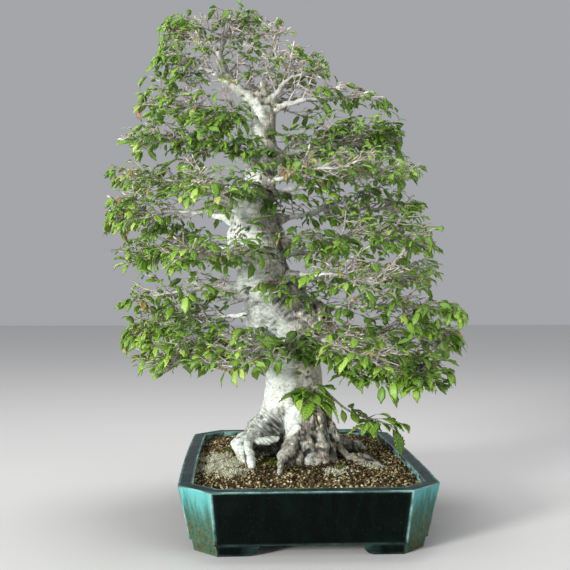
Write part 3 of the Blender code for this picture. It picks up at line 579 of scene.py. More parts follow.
def glazeMaterial():
    p = Paint("potGlaze")
    drop = p.span(p.height(), 0.0, potSpec["height"])
    cloud = p.noise(26.0, 5.0, 0.6)
    runs = p.noise(90.0, 4.0, 0.6, (1, 1, 0.10), 0.4)
    specks = p.noise(420.0, 2.0, 0.5)
    # Near-black walls, darker than the glaze's own dark teal: a painted dark reflection
    body = p.ramp(cloud, (0.30, (0.0010, 0.0018, 0.0014)), (0.52, (0.0014, 0.0030, 0.0022)),
                  (0.72, (0.0020, 0.0062, 0.0048)))
    body = p.mix(p.times(p.ramp(runs, (0.50, 0.0), (0.72, 1.0)), 0.22), body, (0.003, 0.014, 0.011))
    # The rim top in a lighter teal than the walls: a painted sheen
    rimSheenTone = p.cloud((44.0, 5.0, 0.65, (1, 1, 1), 0.5), (0.36, (0.0015, 0.0110, 0.0095)),
                      (0.54, (0.0040, 0.0330, 0.0285)), (0.72, (0.0140, 0.0860, 0.0740)))
    body = p.mix(p.value("rimPaintedSheen"), body, rimSheenTone)
    # Cut corners: pale turquoise runs above, mottled olive, blue green and rust below
    patch = p.calc("ADD", p.times(runs, 0.75), p.times(drop, 0.60))
    cornerTone = p.ramp(patch, (0.40, (0.022, 0.045, 0.026)), (0.56, (0.030, 0.085, 0.062)),
                        (0.74, (0.042, 0.180, 0.165)), (0.94, (0.120, 0.460, 0.450)))
    mottled = p.cloud((210.0, 5.0, 0.7), (0.34, (0.012, 0.034, 0.030)), (0.48, (0.060, 0.120, 0.070)),
                      (0.60, (0.120, 0.130, 0.050)), (0.72, (0.070, 0.240, 0.230)))
    cornerTone = p.mix(p.ramp(drop, (0.20, 0.70), (0.60, 0.45), (0.95, 0.12)), cornerTone, mottled)
    rust = p.times(p.cloud((75.0, 5.0, 0.65), (0.50, 0.0), (0.64, 1.0)), p.ramp(drop, (0.15, 0.70), (0.80, 0.06)))
    cornerTone = p.mix(rust, cornerTone, (0.110, 0.074, 0.026))
    colour = p.mix(p.times(p.value("cornerFace"), 0.95), body, cornerTone)
    # Pale lines on the edges: partly the glaze thinning there, partly a painted highlight
    breakHighlightTone = p.mix(p.noise(130.0, 3.0), (0.09, 0.30, 0.27), (0.46, 0.74, 0.68))
    breakHighlightShare = p.times(p.value("edgeBreakAndHighlight"), p.cloud((70.0, 3.0), (0.30, 0.35), (0.65, 1.0)))
    colour = p.mix(breakHighlightShare, colour, breakHighlightTone)
    colour = p.mix(p.times(p.ramp(specks, (0.66, 0.0), (0.74, 1.0)), 0.15), colour, (0.06, 0.12, 0.10))
    relief = p.calc("ADD", cloud, p.times(specks, 0.25))
    return p.finish(colour, p.ramp(cloud, (0.3, 0.20), (0.7, 0.32)), (relief, 0.25, 0.0012),
                    {"IOR": 1.12, "Coat Weight": 0.03, "Coat Roughness": 0.10})


makePot(potSpec, glazeMaterial())


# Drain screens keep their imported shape

def screenMaterial():
    p = Paint("screenPlastic")
    grain = p.noise(900.0, 3.0)
    return p.finish(p.ramp(grain, (0.35, (0.012, 0.012, 0.013)), (0.70, (0.030, 0.030, 0.032))),
                    p.ramp(grain, (0.3, 0.42), (0.7, 0.60)), (grain, 0.2, 0.0003))


screenPlastic = screenMaterial()
for screenName in ("drain_screen_front", "drain_screen_back"):
    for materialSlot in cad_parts[screenName].material_slots:
        materialSlot.material = screenPlastic


# Soil

soilSpec = {
    "drop": 0.008,
    "crown": 0.014,
    "middle": (-0.012, 0.0),
    "edgeGap": 0.0003,
    "screenThickness": 0.0012,
    "pointGap": 0.009,
    "rings": 64,
    "outerShare": 0.997,
    "innerShare": 0.02,
    "lumps": 0.0016,
    "trunkReach": 0.035,
    "grainDensity": 54000.0,
    "grainSizes": (0.0009, 0.0024),
    "mossDensity": 620000.0,
    "mossThin": 0.48,
    "darkMiddle": (0.022, -0.055, 0.088),
    "darkReach": (0.045, 0.125),
    "seed": 7,
    "mossSeed": 21,
}

# Patches of moss: x, y, radius in mm, how green (1) or dry and pale (0)
mossPatches = metres((
    (-124, -66, 56, 0.05), (-130, 0, 40, 0.1), (-104, -122, 34, 0.15), (-52, -84, 20, 0.95), (-94, -106, 10, 1),
    (51, -108, 12, 0.95), (98, -40, 14, 0.7), (86, 70, 20, 0.6), (-20, 118, 22, 0.85), (-110, 60, 20, 0.5),
    (33, -143, 8, 0.8), (10, 160, 18, 0.3), (44, -132, 26, 0.2), (100, -90, 22, 0.2),
), 3)


def soilHeight(share):
    mound = math.cos(min(share, 1.0) * math.pi / 2) ** 1.2
    return potSpec["height"] - soilSpec["drop"] + soilSpec["crown"] * mound


def makeSoilBed(spec, earth):
    # A closed bed: the uneven top as rings round the trunk, and plain sides and floor inside the pot
    inner = potSpec["footHeight"] + potSpec["floor"] + spec["screenThickness"] + 2 * spec["edgeGap"]
    lipFoot = potSpec["height"] - potSpec["lipDepth"]
    inset = potSpec["rimWidth"] + spec["edgeGap"]
    outline = []
    base = potOutline(inset, 0.0, 40)
    for number, point in enumerate(base):
        ahead = base[(number + 1) % len(base)]
        steps = max(1, round((ahead - point).length / spec["pointGap"]))
        outline += [point.lerp(ahead, k / steps) for k in range(steps)]
    middle = Vector((*spec["middle"], 0.0))

    def ringAt(share, height):
        return [middle * (1 - share) + p * share + Vector((0, 0, height)) for p in outline]

    def innerRing(height, slack):
        wallGap = potSpec["wall"] + wallInset(height) + slack
        scaleX, scaleY = ((potSpec[side] / 2 - wallGap) / (potSpec[side] / 2 - inset) for side in ("width", "length"))
        return [Vector((p.x * scaleX, p.y * scaleY, height)) for p in outline]

    rings = [innerRing(inner, 0.0016), innerRing(lipFoot - 0.006, 0.0010), ringAt(1.0, lipFoot - 0.0045),
             ringAt(1.0, soilHeight(1.0) - 0.0012)]
    for step in range(spec["rings"]):
        share = spec["outerShare"] - (spec["outerShare"] - spec["innerShare"]) * step / (spec["rings"] - 1)
        rings.append(ringAt(share, soilHeight(share)))
    bm = bmesh.new()
    loftRings(bm, rings)
    bmesh.ops.triangulate(bm, faces=[face for face in bm.faces if len(face.verts) > 4])
    bed = addPiece("soilBed", closedMesh("soilBed", bm))
    coords = coordsOf(bed.data)
    top = coords[:, 2] > soilHeight(1.0) - 0.0011
    lump = noiseAt(coords, 85.0, 1.7) + 0.7 * noiseAt(coords, 190.0, 5.3)
    coords[:, 2] += np.where(top, lump * spec["lumps"], 0.0)
    setCoords(bed.data, coords)
    bed.data.shade_smooth()
    bed.data.materials.append(earth)
    return bed, top


def grainMeshes(seed):
    # Four broken lumps with eight corners each
    picks = random.Random(seed)
    for number in range(4):
        bm = bmesh.new()
        bmesh.ops.create_cube(bm, size=1.3)
        for vert in bm.verts:
            vert.co *= picks.uniform(0.70, 1.25)
            vert.co.z *= picks.uniform(0.65, 0.95)
        bmesh.ops.triangulate(bm, faces=bm.faces)
        yield meshOfBm(f"grain{number}", bm)


def mossMeshes(seed):
    # Short pointed strands in little clumps of three
    picks = random.Random(seed)
    for number in range(4):
        bm = bmesh.new()
        for _ in range(3):
            turn = picks.uniform(0, 6.28)
            lean = picks.uniform(0.10, 0.65)
            foot = Vector((math.cos(turn * 1.7) * 0.35, math.sin(turn * 1.7) * 0.35, -0.2))
            tip = foot + Vector((math.cos(turn) * lean, math.sin(turn) * lean, picks.uniform(0.8, 1.4)))
            low = [bm.verts.new(foot + Vector((math.cos(a) * 0.17, math.sin(a) * 0.17, 0))) for a in (0, 2.09, 4.19)]
            high = bm.verts.new(tip)
            for i in range(3):
                bm.faces.new((low[i], low[(i + 1) % 3], high))
            bm.faces.new(list(reversed(low)))
        yield closedMesh(f"mossClump{number}", bm)


def scatterTree():
    # Sets shapes on a surface where a density attribute allows, each turned and sized at random
    g = Growth("scatterOnSurface", {
        "Shapes": "Collection", "Density": "Float", "Density Name": "String", "Smallest": "Float", "Largest": "Float",
        "Lift": "Float", "Tumble": "Float", "Seed": "Int", "Finish": "Material"})
    given = g.given
    density = g.add("ShaderNodeMath", "Value", {"Value": given["Density"], "Value_001": g.named(given["Density Name"])},
                    operation="MULTIPLY")
    points = g.add("GeometryNodeDistributePointsOnFaces", "Points", {
        "Mesh": given["Geometry"], "Density": density, "Seed": given["Seed"]}, distribute_method="RANDOM")
    rise = g.add("ShaderNodeVectorMath", "Vector", {"Vector": points.node.outputs["Normal"], "Scale": given["Lift"]},
                 operation="SCALE")
    points = g.add("GeometryNodeSetPosition", "Geometry", {"Geometry": points, "Offset": rise})
    size = g.drawn("FLOAT", "Value_001", {"Min_001": given["Smallest"], "Max_001": given["Largest"], "Seed": 11})
    pick = g.drawn("INT", "Value_002", {"Min_002": 0, "Max_002": 3, "Seed": 12})
    swing = g.drawn("FLOAT_VECTOR", "Value", {"Min": (-1, -1, -3.14), "Max": (1, 1, 3.14), "Seed": 13})
    limit = g.add("ShaderNodeCombineXYZ", "Vector", {"X": given["Tumble"], "Y": given["Tumble"], "Z": 1.0})
    turn = g.add("ShaderNodeVectorMath", "Vector", {"Vector": swing, "Vector_001": limit}, operation="MULTIPLY")
    placed = g.stand(points, True, "Shapes", pick, turn, size)
    tone = g.drawn("FLOAT", "Value_001", {"Seed": 14})
    stored = g.add("GeometryNodeStoreNamedAttribute", "Geometry", {"Geometry": placed, "Name": "tone", "Value": tone},
                   data_type="FLOAT", domain="INSTANCE")
    g.feed(g.result, g.real(stored, "Finish"))
    return g


def earthMaterial(name, loose):
    p = Paint(name)
    if loose:
        colour = p.ramp(p.value("tone"), (0.0, (0.006, 0.005, 0.003)), (0.24, (0.030, 0.021, 0.009)),
                        (0.46, (0.120, 0.082, 0.032)), (0.64, (0.300, 0.220, 0.090)),
                        (0.80, (0.520, 0.420, 0.200)), (0.93, (0.700, 0.620, 0.380)), (1.0, (0.82, 0.78, 0.62)))
    else:
        colour = p.ramp(p.cells("Color", 330.0, (1, 1, 1)), (0.1, (0.018, 0.013, 0.007)),
                        (0.45, (0.075, 0.052, 0.024)), (0.8, (0.180, 0.130, 0.060)))
    # Darker in patches and round the roots
    middle = Vector(soilSpec["darkMiddle"]) + placeShift
    gap = p.add("ShaderNodeVectorMath", "Value", {"Vector": p.place(), "Vector_001": middle}, operation="DISTANCE")
    colour = p.shade(1.0, colour, p.span(gap, *soilSpec["darkReach"], 0.50, 1.0))
    colour = p.shade(0.9, colour, p.cloud((24.0, 4.0, 0.6), (0.40, (0.52, 0.46, 0.40)), (0.58, (1.08, 1.08, 1.04))))
    mottle = p.noise(900.0, 3.0, 0.6)
    colour = p.shade(0.55, colour, p.ramp(mottle, (0.3, 0.45), (0.7, 1.35)))
    return p.finish(colour, 0.92, (mottle, 0.6, 0.0006), {"Specular IOR Level": 0.25})


def mossMaterial(name, *stops):
    p = Paint(name)
    colour = p.shade(0.4, p.ramp(p.value("tone"), *stops), p.cloud((160.0,), (0.3, 0.5), (0.7, 1.3)))
    return p.finish(colour, 0.85, None, {"Specular IOR Level": 0.2})


def patchWeights(coords, green):
    weight = np.zeros(len(coords))
    rough = 1 + 0.55 * noiseAt(coords, 70.0, 8.8)
    for x, y, radius, shade in mossPatches:
        if (shade > 0.4) == green:
            gap = np.hypot(coords[:, 0] - x, coords[:, 1] - y)
            weight = np.maximum(weight, smoothStep(1.0, 0.45 if green else 0.05, gap / (radius * rough)))
    return weight


def makeSoil(spec):
    bed, top = makeSoilBed(spec, earthMaterial("soilEarth", False))
    coords = coordsOf(bed.data)
    away = np.hypot(coords[:, 0] - spec["middle"][0], coords[:, 1] - spec["middle"][1])
    setData(bed.data, "grainShare", top * (away > spec["trunkReach"]))
    setData(bed.data, "mossGreen", top * patchWeights(coords, True))
    setData(bed.data, "mossDry", top * patchWeights(coords, False))
    scatter = scatterTree()
    moss = shelfOf("mossClump", mossMeshes(spec["mossSeed"]))
    layers = (
        # name, shapes, density and its attribute, sizes, lift, tumble, finish
        ("soilGrains", shelfOf("grain", grainMeshes(spec["seed"])), spec["grainDensity"], "grainShare",
         *spec["grainSizes"], 0.0004, 1.0, earthMaterial("soilGrain", True)),
        ("mossTufts", moss, spec["mossDensity"], "mossGreen", 0.0010, 0.0024, 0.0006, 0.30,
         mossMaterial("mossGreenFinish", (0.0, (0.035, 0.060, 0.010)), (0.5, (0.095, 0.150, 0.022)),
                      (1.0, (0.230, 0.270, 0.050)))),
        ("mossDryTufts", moss, spec["mossDensity"] * spec["mossThin"], "mossDry", 0.0014, 0.0042, 0.0006, 0.95,
         mossMaterial("mossDryFinish", (0.0, (0.330, 0.325, 0.200)), (0.5, (0.620, 0.630, 0.440)),
                      (1.0, (0.920, 0.930, 0.780)))),
    )
    labels = ("Shapes", "Density", "Density Name", "Smallest", "Largest", "Lift", "Tumble", "Finish")
    for name, *values in layers:
        piece = addPiece(name, bed.data.copy())
        scatter.run(piece, dict(zip(labels, values), Seed=spec["seed"]))
        finishPiece(piece, "soil")
        print(name + ":", len(piece.data.polygons), "faces")
    finishPiece(bed, "soil")


makeSoil(soilSpec)
print("soil, grains and moss ready")


# Trunk, roots and leader

# Height, axis x, axis y, radius
trunkProfile = metres((
    (54, -12, 0, 60), (92, -12, 0, 64), (112, -12, 0, 56), (140, -11, 0, 49), (170, -10, 0, 45), (205, -9, 0, 42.5),
    (238, -10, 2, 44), (264, -14, 4, 51), (290, -17, 4, 60), (316, -30, 3, 55), (345, -43, 0, 48),
    (378, -56, -3, 41), (405, -64, -4, 41), (430, -68, -4, 42), (455, -71, -2, 34), (488, -70, 2, 26),
    (520, -63, 4, 23.5), (560, -57, 3, 21), (606, -57, 0, 18.2), (628, -57, 0, 16.5), (642, -57, 0, 12.5),
    (656, -56, 0, 7),
))
# x, y, z, radius
leaderPath = metres((
    (-56, 0, 622, 14), (-68, -1, 645, 12.5), (-86, -2, 655, 11), (-105, -2, 669, 9.5), (-120, 0, 693, 8),
    (-128, 2, 722, 6),
))
trunkSpec = {
    "sides": 60,
    "ringStep": 0.005,
    "flareSpan": (0.08, 0.210),
    "flareLobes": ((200, 0.06), (262, 0.08), (300, 0.12), (335, 0.04), (40, 0.10), (95, 0.10), (140, 0.12)),
    "lobeSpread": 20.0,
    "flareHollows": ((238, 0.62, 18.0), (292, 0.16, 7.0), (318, 0.14, 8.0), (12, 0.12, 12.0),
                     (80, 0.12, 10.0), (118, 0.12, 10.0), (178, 0.14, 9.0)),
    "hollowTop": 0.172,
    "hollowFade": 0.032,
    "rootBase": 0.046,
    "voxel": 0.0023,
    "evenRounds": 4,
    "warp": ((21.0, 0.0040), (52.0, 0.0022)),
    "warpSeed": 1796073717,
    # x, y, z, radius in mm, squash along x, y and z
    "burls": metres((
        (-92, -12, 434, 19, 1, 1, 0.9), (-50, -24, 404, 18, 1, 1, 1.3), (11, -10, 294, 40, 1, 0.95, 0.95),
        (-55, -8, 566, 16, 1, 0.9, 1.5), (-48, -20, 302, 36, 1, 1, 1.2), (-52, 22, 352, 32, 1, 1, 1.2),
        (28, -26, 302, 20, 0.8, 1, 1.3), (-4, -40, 284, 16, 1.2, 0.8, 0.9), (-84, -18, 356, 14, 0.9, 0.9, 1.7),
        (-38, 26, 436, 16, 1, 1, 1.4), (-48, 10, 530, 12, 1, 1, 1.5), (20, 28, 274, 24, 1, 1, 1.2),
        (-60, 20, 262, 20, 1, 1, 1.6), (-78, -24, 446, 10, 1.2, 0.8, 0.7), (-98, -20, 424, 9, 0.9, 0.9, 0.8),
        (-62, -6, 600, 13, 1.1, 1, 1.4), (-104, 0, 668, 10.5, 1.3, 0.9, 0.9), (-118, 1, 690, 9, 1, 0.9, 1.2),
        (-82, -2, 652, 11.5, 1.2, 0.9, 0.8), (-90, -34, 104, 15, 1.15, 1.5, 0.72),
    ), 4),
    "heel": (-0.084, -0.036, 0.55),
    "burlHoles": (-0.094, -0.030, 0.434, 0.021),
    # x, y, z, radius in mm, darkness: painted shade in the hollow between the roots and the gaps beside it, and faintly
    # on the far right roots
    "shadeSpots": metres((
        (-41, -28, 137, 15, 1), (-52, -28, 130, 12, 0.9), (-47, -36, 104, 16, 1), (-33, -30, 118, 12, 1),
        (-60, -38, 98, 13, 1), (-27, -28, 157, 6, 0.75), (-84, -45, 112, 8, 0.6), (-2, -60, 119, 7, 0.8),
        (4, -80, 110, 7.5, 0.8), (15, -58, 128, 6, 0.65), (32, -58, 110, 7.5, 0.75), (44.5, -58, 96, 9, 0.8),
        (52, -34, 106, 9, 0.75), (66, -20, 100, 12, 0.85), (14, -50, 146, 4.5, 0.55), (30, -46, 136, 5, 0.6),
        (78, -58, 94, 20, 0.35), (106, -74, 90, 26, 0.45),
    ), 4),
    # x, y, z, hole radius, depth, raised rim
    "eyes": metres((
        (9, -58, 313, 5.6, 8.5, 2.2), (-94, -36, 438, 2.6, 4, 1), (-101, -28, 428, 2.2, 3.4, 0.8),
        (-86, -40, 429, 2, 3, 0.7), (-82, -40, 440, 1.8, 2.8, 0.5), (-102, -26, 440, 2.2, 3.4, 0.8),
        (-90, -38, 450, 2, 3, 0.6), (-96, -32, 418, 1.9, 2.8, 0.6), (-76, -42, 424, 2.2, 3, 0.7),
        (-106, -20, 420, 2, 3, 0.6), (-80, -40, 408, 1.7, 2.4, 0.5), (-30, -50, 262, 4, 4, 1.8),
        (-52, -46, 352, 2.2, 2.6, 0.3), (35, -44, 305, 3, 4, 1.6), (-61, -24, 520, 3, 3.4, 1.2),
        (52, 0, 300, 4, 4.4, 1.6), (-30, 60, 330, 4.6, 5, 1.8), (-100, 20, 392, 3.4, 3.6, 1.4),
        (10, -44, 222, 2.4, 2.4, 1.2), (-44, -17, 559, 8.5, 8, 2.2),
    )),
    "creaseDepth": 0.0011,
    "seed": 33,
}

# Surface roots on the shown side, each as x, y, z, radius from inside the trunk to under the soil
rootCourses = [metres(course) for course in (
    # The pale heel at the left, which bends down over two knuckles
    ((-34, -6, 190, 12), (-46, -10, 154, 16), (-61, -14, 128, 18), (-79, -20, 114.5, 17), (-93, -29, 106, 15),
     (-98, -44, 94, 12.2), (-97, -61, 78, 8)),
    ((-54, -4, 132, 14), (-76, -2, 114, 14.5), (-91, 9, 102, 11.5), (-98, 28, 91, 8.5), (-102, 44, 74, 5)),
    ((-83, -24, 108, 12), (-94, -30, 101, 10), (-102, -38, 91, 7), (-106, -48, 76, 4)),
    ((-87, -34, 109, 10.5), (-91, -55, 99, 8.8), (-91, -71, 88, 6), (-91, -82, 76, 4)),
    # The finger, and the stub that lies across over the hollow
    ((-64, -22, 131, 12), (-76, -44, 120.5, 8.6), (-79.5, -64, 112, 6.2), (-78, -84, 103.5, 5.4), (-77, -101, 94, 5),
     (-76.5, -117, 76, 3.4)),
    ((-78, -34, 121, 10), (-66, -50, 119.5, 6.4), (-56, -58, 120.5, 5.8), (-47, -61, 122.5, 6),
     (-39.5, -62, 124, 5.8), (-37, -62, 124.4, 3.4)),
    # The gnarled root in the middle with its lower fold
    ((-9, -26, 200, 10), (-9, -38, 165, 12.5), (-10, -52, 137, 13), (-15, -73, 121, 12), (-23.5, -92, 110, 10),
     (-32, -110, 101, 7.2), (-36, -126, 92, 5), (-38.5, -139, 84, 3.4), (-40, -152, 70, 2.2)),
    ((-10, -48, 138, 12), (-8, -65, 116, 12.8), (-9, -82, 102, 11.2), (-12, -94, 88, 7), (-14, -102, 72, 4)),
    ((-20, -80, 112, 8.5), (-21, -94, 100, 7), (-21, -104, 90, 5), (-21, -112, 74, 3)),
    # The brown knobbly mass right of the middle
    ((6, -34, 188, 10), (7, -46, 158, 13.5), (6, -58, 132, 15), (7, -72, 110, 14.5), (9, -84, 95, 10),
     (10, -94, 74, 6)),
    ((18, -30, 182, 9), (22, -42, 152, 13), (23, -54, 126, 14.5), (24, -68, 107, 14), (26, -80, 93, 10),
     (28, -90, 74, 6)),
    ((15, -56, 124, 10), (16.5, -74, 106, 9.5), (17.5, -87, 93, 7), (18, -95, 76, 4)),
    ((29, -34, 134, 12), (37, -48, 113, 12.5), (43, -59, 98, 10), (47, -70, 80, 6)),
    # The ridge that runs far out to the right, and the short pink root behind it
    ((26, -12, 188, 8), (38, -27, 152, 8.8), (50, -40, 126, 7.8), (58, -47, 109, 6), (67, -52, 97.5, 4.5),
     (81, -60, 92.2, 3.6), (104, -68, 89.2, 3.1), (115, -85, 86.8, 2.8), (120, -100, 74, 2.2)),
    ((74, -54, 97, 5), (88, -46, 94.5, 4), (102, -44, 91.5, 3), (114, -46, 82, 2)),
    ((30, 2, 154, 11), (43, 6, 129, 9), (57, 10, 115, 6.2), (70, 14, 107, 4.8), (82, 21, 103, 4.2),
     (90, 31, 94, 3.2), (94, 40, 78, 2.2)),
)]
# Roots on the far side: bearing in degrees, reach, start radius, end radius, start height, forks
rootRows = (
    (22, 0.138, 0.017, 0.0040, 0.150, ((0.50, 28, 0.055, 0.0045),)),
    (48, 0.112, 0.018, 0.0050, 0.150, ((0.55, -24, 0.045, 0.0045),)),
    (74, 0.132, 0.020, 0.0045, 0.156, ((0.50, -26, 0.050, 0.0050), (0.62, 24, 0.040, 0.0040))),
    (100, 0.116, 0.021, 0.0060, 0.160, ((0.48, 28, 0.050, 0.0055),)),
    (128, 0.132, 0.021, 0.0050, 0.158, ((0.50, -28, 0.050, 0.0055),)),
    (150, 0.108, 0.019, 0.0060, 0.150, ((0.52, 24, 0.042, 0.0055),)),
    (172, 0.092, 0.016, 0.0055, 0.144, ()),
)
# Sinews that run down the trunk's flank into the roots: bearing at the foot, bearing above, top height, radius
sinewRows = (
    (190, 205, 0.230, 0.0080), (204, 213, 0.196, 0.0060), (262, 252, 0.214, 0.0070), (270, 262, 0.196, 0.0060),
    (280, 273, 0.206, 0.0074), (298, 288, 0.196, 0.0072), (308, 298, 0.214, 0.0084), (322, 312, 0.192, 0.0066),
    (334, 324, 0.216, 0.0080), (350, 344, 0.196, 0.0066), (6, 2, 0.190, 0.0066), (22, 18, 0.215, 0.0080),
    (48, 44, 0.200, 0.0076), (74, 70, 0.205, 0.0085), (100, 96, 0.220, 0.0090), (128, 124, 0.210, 0.0085),
    (150, 148, 0.196, 0.0078), (172, 172, 0.205, 0.0080),
)


def scatterNumber(*keys):
    total = sum((k + 1) * (12.9898 + 31.417 * n) for n, k in enumerate(keys))
    return (math.sin(total) * 43758.5453) % 1.0


def bearing(way):
    return math.atan2(way.y, way.x)


def trunkAt(height):
    for low, high in zip(trunkProfile, trunkProfile[1:]):
        if height <= high[0]:
            share = (height - low[0]) / (high[0] - low[0])
            x, y, radius = (low[k] + (high[k] - low[k]) * share for k in (1, 2, 3))
            return Vector((x, y, height)), radius
    return Vector((*trunkProfile[-1][1:3], height)), trunkProfile[-1][3]


def trunkSwell(angle, height):
    # How much wider than its profile the trunk is on one side, with lobes and hollows in its flare
    spec = trunkSpec
    foot, top = spec["flareSpan"]
    flare = min(max(0.0, 1 - (height - foot) / (top - foot)), 1.0)
    deep = min(1.0, max(0.0, (spec["hollowTop"] - height) / spec["hollowFade"]))
    swell = 1 + 0.05 * math.cos(math.radians(3 * angle) + 40 * height)

    def bump(middle, spread):
        apart = (angle - middle + 180) % 360 - 180
        return math.exp(-((apart / spread) ** 2))

    for middle, size in spec["flareLobes"]:
        swell += flare * size * bump(middle, spec["lobeSpread"])
    for middle, size, spread in spec["flareHollows"]:
        swell -= deep * size * bump(middle, spread)
    return swell


def trunkRings():
    # Smooth in height: every value is drawn through the profile's rows
    spec = trunkSpec
    count = int((trunkProfile[-1][0] - trunkProfile[0][0]) / spec["ringStep"])
    rows = []
    for (height, x, y), radius in zip(*courseThrough(trunkProfile, count)):
        ring = []
        for step in range(spec["sides"]):
            angle = 360 * step / spec["sides"]
            reach = radius * trunkSwell(angle, height)
            turn = math.radians(angle)
            ring.append(Vector((x + reach * math.cos(turn), y + reach * math.sin(turn), height)))
        rows.append(ring)
    return rows


def rootPath(degrees, reach, startRadius, endRadius, startHeight):
    out = around(math.radians(degrees))
    side = Vector((-out.y, out.x, 0))
    centre = trunkAt(startHeight)[0]
    level = Vector((centre.x, centre.y, 0))
    ground = soilHeight(0.3)
    base = trunkSpec["rootBase"]
    bend = (scatterNumber(degrees, 3) - 0.5) * 0.030

    def knot(height, away, sway):
        return level + Vector((0, 0, height)) + out * away + side * bend * sway

    return [
        centre + out * 0.016,
        knot(startHeight - 0.018, base, 0),
        knot(ground + startRadius * 0.55, base + 0.40 * (reach - base), 0.5),
        knot(ground + endRadius * 0.35, base + 0.78 * (reach - base), 1),
        knot(soilHeight(0.7) - endRadius * 1.3, reach, 0.8),
    ]


def addGnarled(bm, points, radii, picks, wander=0.0016):
    # A root with knobs and bends, thicker and thinner along its way
    count = len(points)
    phase = picks.uniform(0, 6)
    bent, thick = [], []
    for i, (point, radius) in enumerate(zip(points, radii)):
        t = i / (count - 1)
        thick.append(radius * (1 + 0.10 * math.sin(19 * t + phase) + 0.07 * math.sin(33 * t + 2.1 * phase)))
        bent.append(point + Vector((picks.uniform(-1, 1), picks.uniform(-1, 1), picks.uniform(-0.6, 0.6)))
                    * wander * min(1.0, 4 * t))
    addTube(bm, bent, thick, 12)
    # Thin strands that lie along it, so that its skin is furrowed
    for _ in range(3):
        turn = picks.uniform(0, 6.28)
        lay = []
        for i in range(count):
            swing = turn + 2.6 * (i / (count - 1))
            side = Vector((math.cos(swing), math.sin(swing) * 0.6, 0.8 * abs(math.sin(swing))))
            lay.append(bent[i] + side.normalized() * thick[i] * 0.80)
        addTube(bm, lay, [radius * picks.uniform(0.20, 0.34) for radius in thick], 7)


def addRoot(bm, row, picks, count=26):
    degrees, reach, startRadius, endRadius, startHeight, forks = row
    points = curveThrough(rootPath(degrees, reach, startRadius, endRadius, startHeight), count)
    radii = []
    for i in range(count):
        t = i / (count - 1)
        rise = 0.50 + 0.50 * min(1.0, t / 0.32)
        radii.append((startRadius + (endRadius - startRadius) * t ** 0.8) * rise)
    addGnarled(bm, points, radii, picks, 0.0022)
    for share, swing, length, radius in forks:
        i = int(share * (count - 1))
        along = (points[i + 1] - points[i - 1]).normalized()
        ahead = Matrix.Rotation(math.radians(swing), 3, "Z") @ Vector((along.x, along.y, 0)).normalized()
        path = []
        for k in range(8):
            t = k / 7
            ground = soilHeight(0.35 + 0.3 * t) + radius * (0.5 - 1.7 * t)
            place = points[i] + ahead * length * t
            lift = max(points[i].z * (1 - t) ** 1.5 + ground * (1 - (1 - t) ** 1.5), ground)
            sway = Vector((-ahead.y, ahead.x, 0)) * 0.004 * math.sin(4 * t + degrees)
            path.append(Vector((place.x, place.y, lift)) + sway)
        addTube(bm, path, [radius * (1.15 - 0.5 * k / 7) for k in range(8)], 10)


def addSinew(bm, row, count=18):
    foot, above, topHeight, radius = row
    points, radii = [], []
    for k in range(count):
        t = k / (count - 1)
        height = potSpec["height"] + (topHeight - potSpec["height"]) * t
        degrees = foot + (above - foot) * t + 2.2 * math.sin(5 * t + foot)
        centre, trunkRadius = trunkAt(height)
        reach = trunkRadius * trunkSwell(degrees, height) - radius * (0.30 + 0.9 * t ** 2)
        points.append(centre + around(math.radians(degrees)) * reach)
        radii.append(radius * (1.0 - 0.45 * t) * (1 + 0.12 * math.sin(19 * t + foot)))
    addTube(bm, points, radii, 10)


# Limbs: height where they leave the trunk, then the tip's x, y, z and the radius at the trunk
limbRows = {name: metres([row])[0] for name, row in {
    "left_01": (248, -216, -104, 234, 7.2), "left_02": (302, -264, 70, 276, 7.8),
    "left_03": (346, -270, -52, 326, 7.8), "left_04": (404, -262, 98, 400, 6.6), "left_05": (452, -286, -14, 460, 8),
    "left_06": (494, -272, 82, 526, 6.2), "left_07": (545, -248, -62, 572, 6), "left_08": (604, -250, 30, 644, 5.6),
    "right_01": (246, 182, -96, 214, 6.8), "right_02": (282, 246, 42, 256, 8.8),
    "right_03": (304, 238, -72, 310, 7.6), "right_04": (348, 218, 94, 366, 7.6),
    "right_05": (412, 202, -40, 416, 7.4), "right_06": (448, 188, 92, 478, 6.6), "right_07": (486, 168, -66, 518, 7),
    "right_08": (552, 160, 50, 584, 6.6), "right_09": (626, 130, -22, 648, 5.6), "back_01": (262, 86, 206, 246, 7.4),
    "back_02": (330, -142, 192, 336, 7), "back_03": (384, 76, 196, 412, 6.6), "back_04": (462, -112, 176, 488, 6.2),
    "back_05": (540, 22, 150, 574, 5.8), "front_01": (258, -108, -194, 238, 6.6),
    "front_02": (270, 100, -194, 242, 6.8), "front_03": (362, 112, -164, 352, 6.2),
    "front_04": (390, -178, -146, 388, 6.2), "front_05": (478, -146, -140, 490, 5.6),
    "front_06": (510, 60, -142, 516, 5.6), "top_01": (636, 36, -68, 692, 5.6), "top_02": (644, 12, 58, 730, 5.4),
    "top_03": (646, -36, -40, 764, 5.6),
}.items()}
# Limbs that leave the leader: the leader point's number, then as above
crownRows = {name: (number, *metres([row])[0]) for name, (number, *row) in {
    "crown_01": (3, -214, -48, 700, 5), "crown_02": (5, -186, 26, 762, 5), "crown_03": (5, -100, 0, 780, 4.8),
}.items()}
allLimbs = {**limbRows, **crownRows}
limbSpec = {
    "bareShare": 0.36,
    "joinRadius": 0.0034,
    "tipRadius": 0.0012,
    "rise": 0.055,
    "sway": 0.0095,
    "points": 9,
    "finePoints": 65,
    "wander": 0.0022,
    "highFrom": 0.60,
    "collarSpread": 0.026,
    "sides": 10,
    "seed": 500,
}
